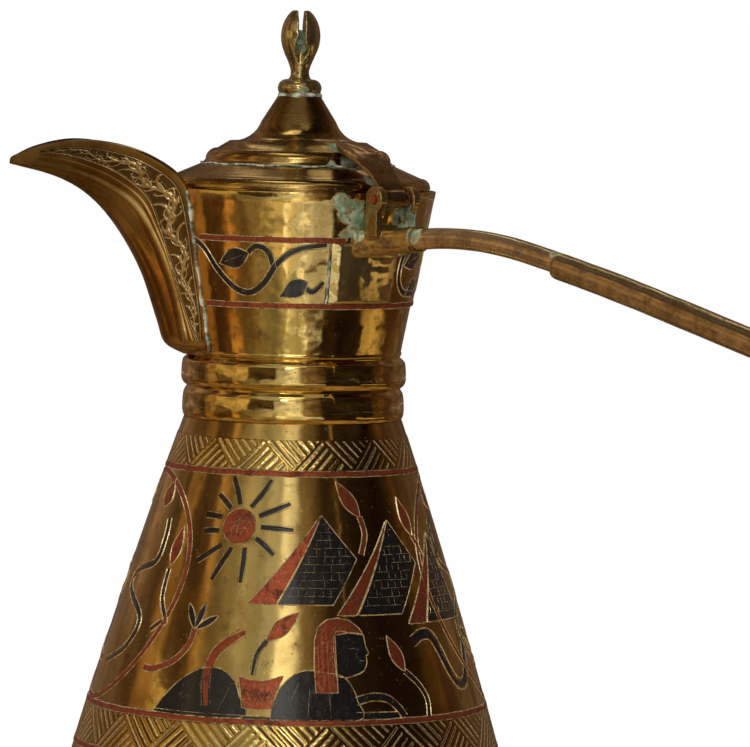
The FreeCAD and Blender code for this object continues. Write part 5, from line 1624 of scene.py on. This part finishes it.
# lit paper round the pot that goes over to plain white
def paperFinish():
    finish = Finish("pale paper")
    point = finish.place()
    fibre = finish.bump(finish.cloud(point, 300), 0.1, 0.2)
    share = finish.above(finish.measured("LENGTH", point), paper["litTo"], paper["whiteFrom"]) * finish.seen()
    lit = finish.node("ShaderNodeBsdfDiffuse", {}, {"Color": paper["colour"], "Normal": fibre})
    white = finish.node("ShaderNodeEmission", {}, {"Color": (1, 1, 1, 1), "Strength": 1.0})
    both = finish.node("ShaderNodeMixShader", {}, {0: share, 1: lit, 2: white})
    finish.node("ShaderNodeOutputMaterial", {}, {"Surface": both})
    return finish.owner


def onlyReflected(card):
    card.visible_camera = card.visible_diffuse = card.visible_shadow = False
    card.visible_transmission = card.visible_volume_scatter = False


def setLamp(name, lamp):
    light = bpy.data.lights.new(name, "AREA")
    light.shape = "RECTANGLE"
    light.size, light.size_y = lamp["size"]
    light.energy = lamp["power"]
    light.color = lampColour
    piece = linked(name, light)
    right, ahead, up = lamp["place"]
    piece.visible_glossy = False                          # the metal sees the surround instead
    piece.location = toRight * right + toCamera * ahead + Vector((0, 0, up))
    piece.rotation_euler = (lampAim - piece.location).to_track_quat("-Z", "Y").to_euler()


def stageSet():
    world = bpy.context.scene.world or bpy.data.worlds.new("studio")
    bpy.context.scene.world = world
    sky = Finish("studio", world)
    strength = sky.seen() * stage["skySeen"] + stage["sky"]
    air = sky.node("ShaderNodeBackground", {}, {"Color": (1, 1, 1, 1), "Strength": strength})
    sky.node("ShaderNodeOutputWorld", {}, {"Surface": air})
    bpy.ops.object.select_all(action="DESELECT")
    bpy.ops.mesh.primitive_plane_add(size=stage["floor"], location=(0, 0, 0))
    floor = bpy.context.object
    floor.name = "paleFloor"
    floor.data.materials.append(paperFinish())
    tone = surroundFinish()
    bpy.ops.mesh.primitive_uv_sphere_add(segments=96, ring_count=48, radius=stage["tentR"],
                                         location=(0, 0, 0))
    tent = bpy.context.object
    tent.name = "surroundTent"
    bpy.ops.mesh.primitive_circle_add(vertices=96, radius=stage["apronR"], fill_type="NGON",
                                      location=(0, 0, 0))
    apron = bpy.context.object
    apron.name = "surroundApron"
    for vertex in apron.data.vertices:
        vertex.co.z = stage["apronZ"]
    for card in (tent, apron):
        card.data.materials.append(tone)
        onlyReflected(card)
    for name, lamp in lamps.items():
        setLamp(name, lamp)
    print("stage set")


def setCamera():
    data = bpy.data.cameras.new("photoCamera")
    data.lens, data.sensor_width, data.clip_end = camera["lens"], camera["sensor"], camera["far"]
    piece = linked("photoCamera", data)
    piece.location = toCamera * camera["distance"] + Vector((0, 0, camera["height"]))
    aim = toRight * camera["aim"] + Vector((0, 0, camera["aimZ"]))
    look = (aim - piece.location).to_track_quat("-Z", "Y").to_matrix().to_4x4()
    roll = Matrix.Rotation(math.radians(camera["roll"]), 4, "Z")
    piece.matrix_world = Matrix.Translation(piece.location) @ look @ roll
    bpy.context.scene.camera = piece


stageSet()
setCamera()
bpy.context.scene.view_settings.view_transform = "Standard"
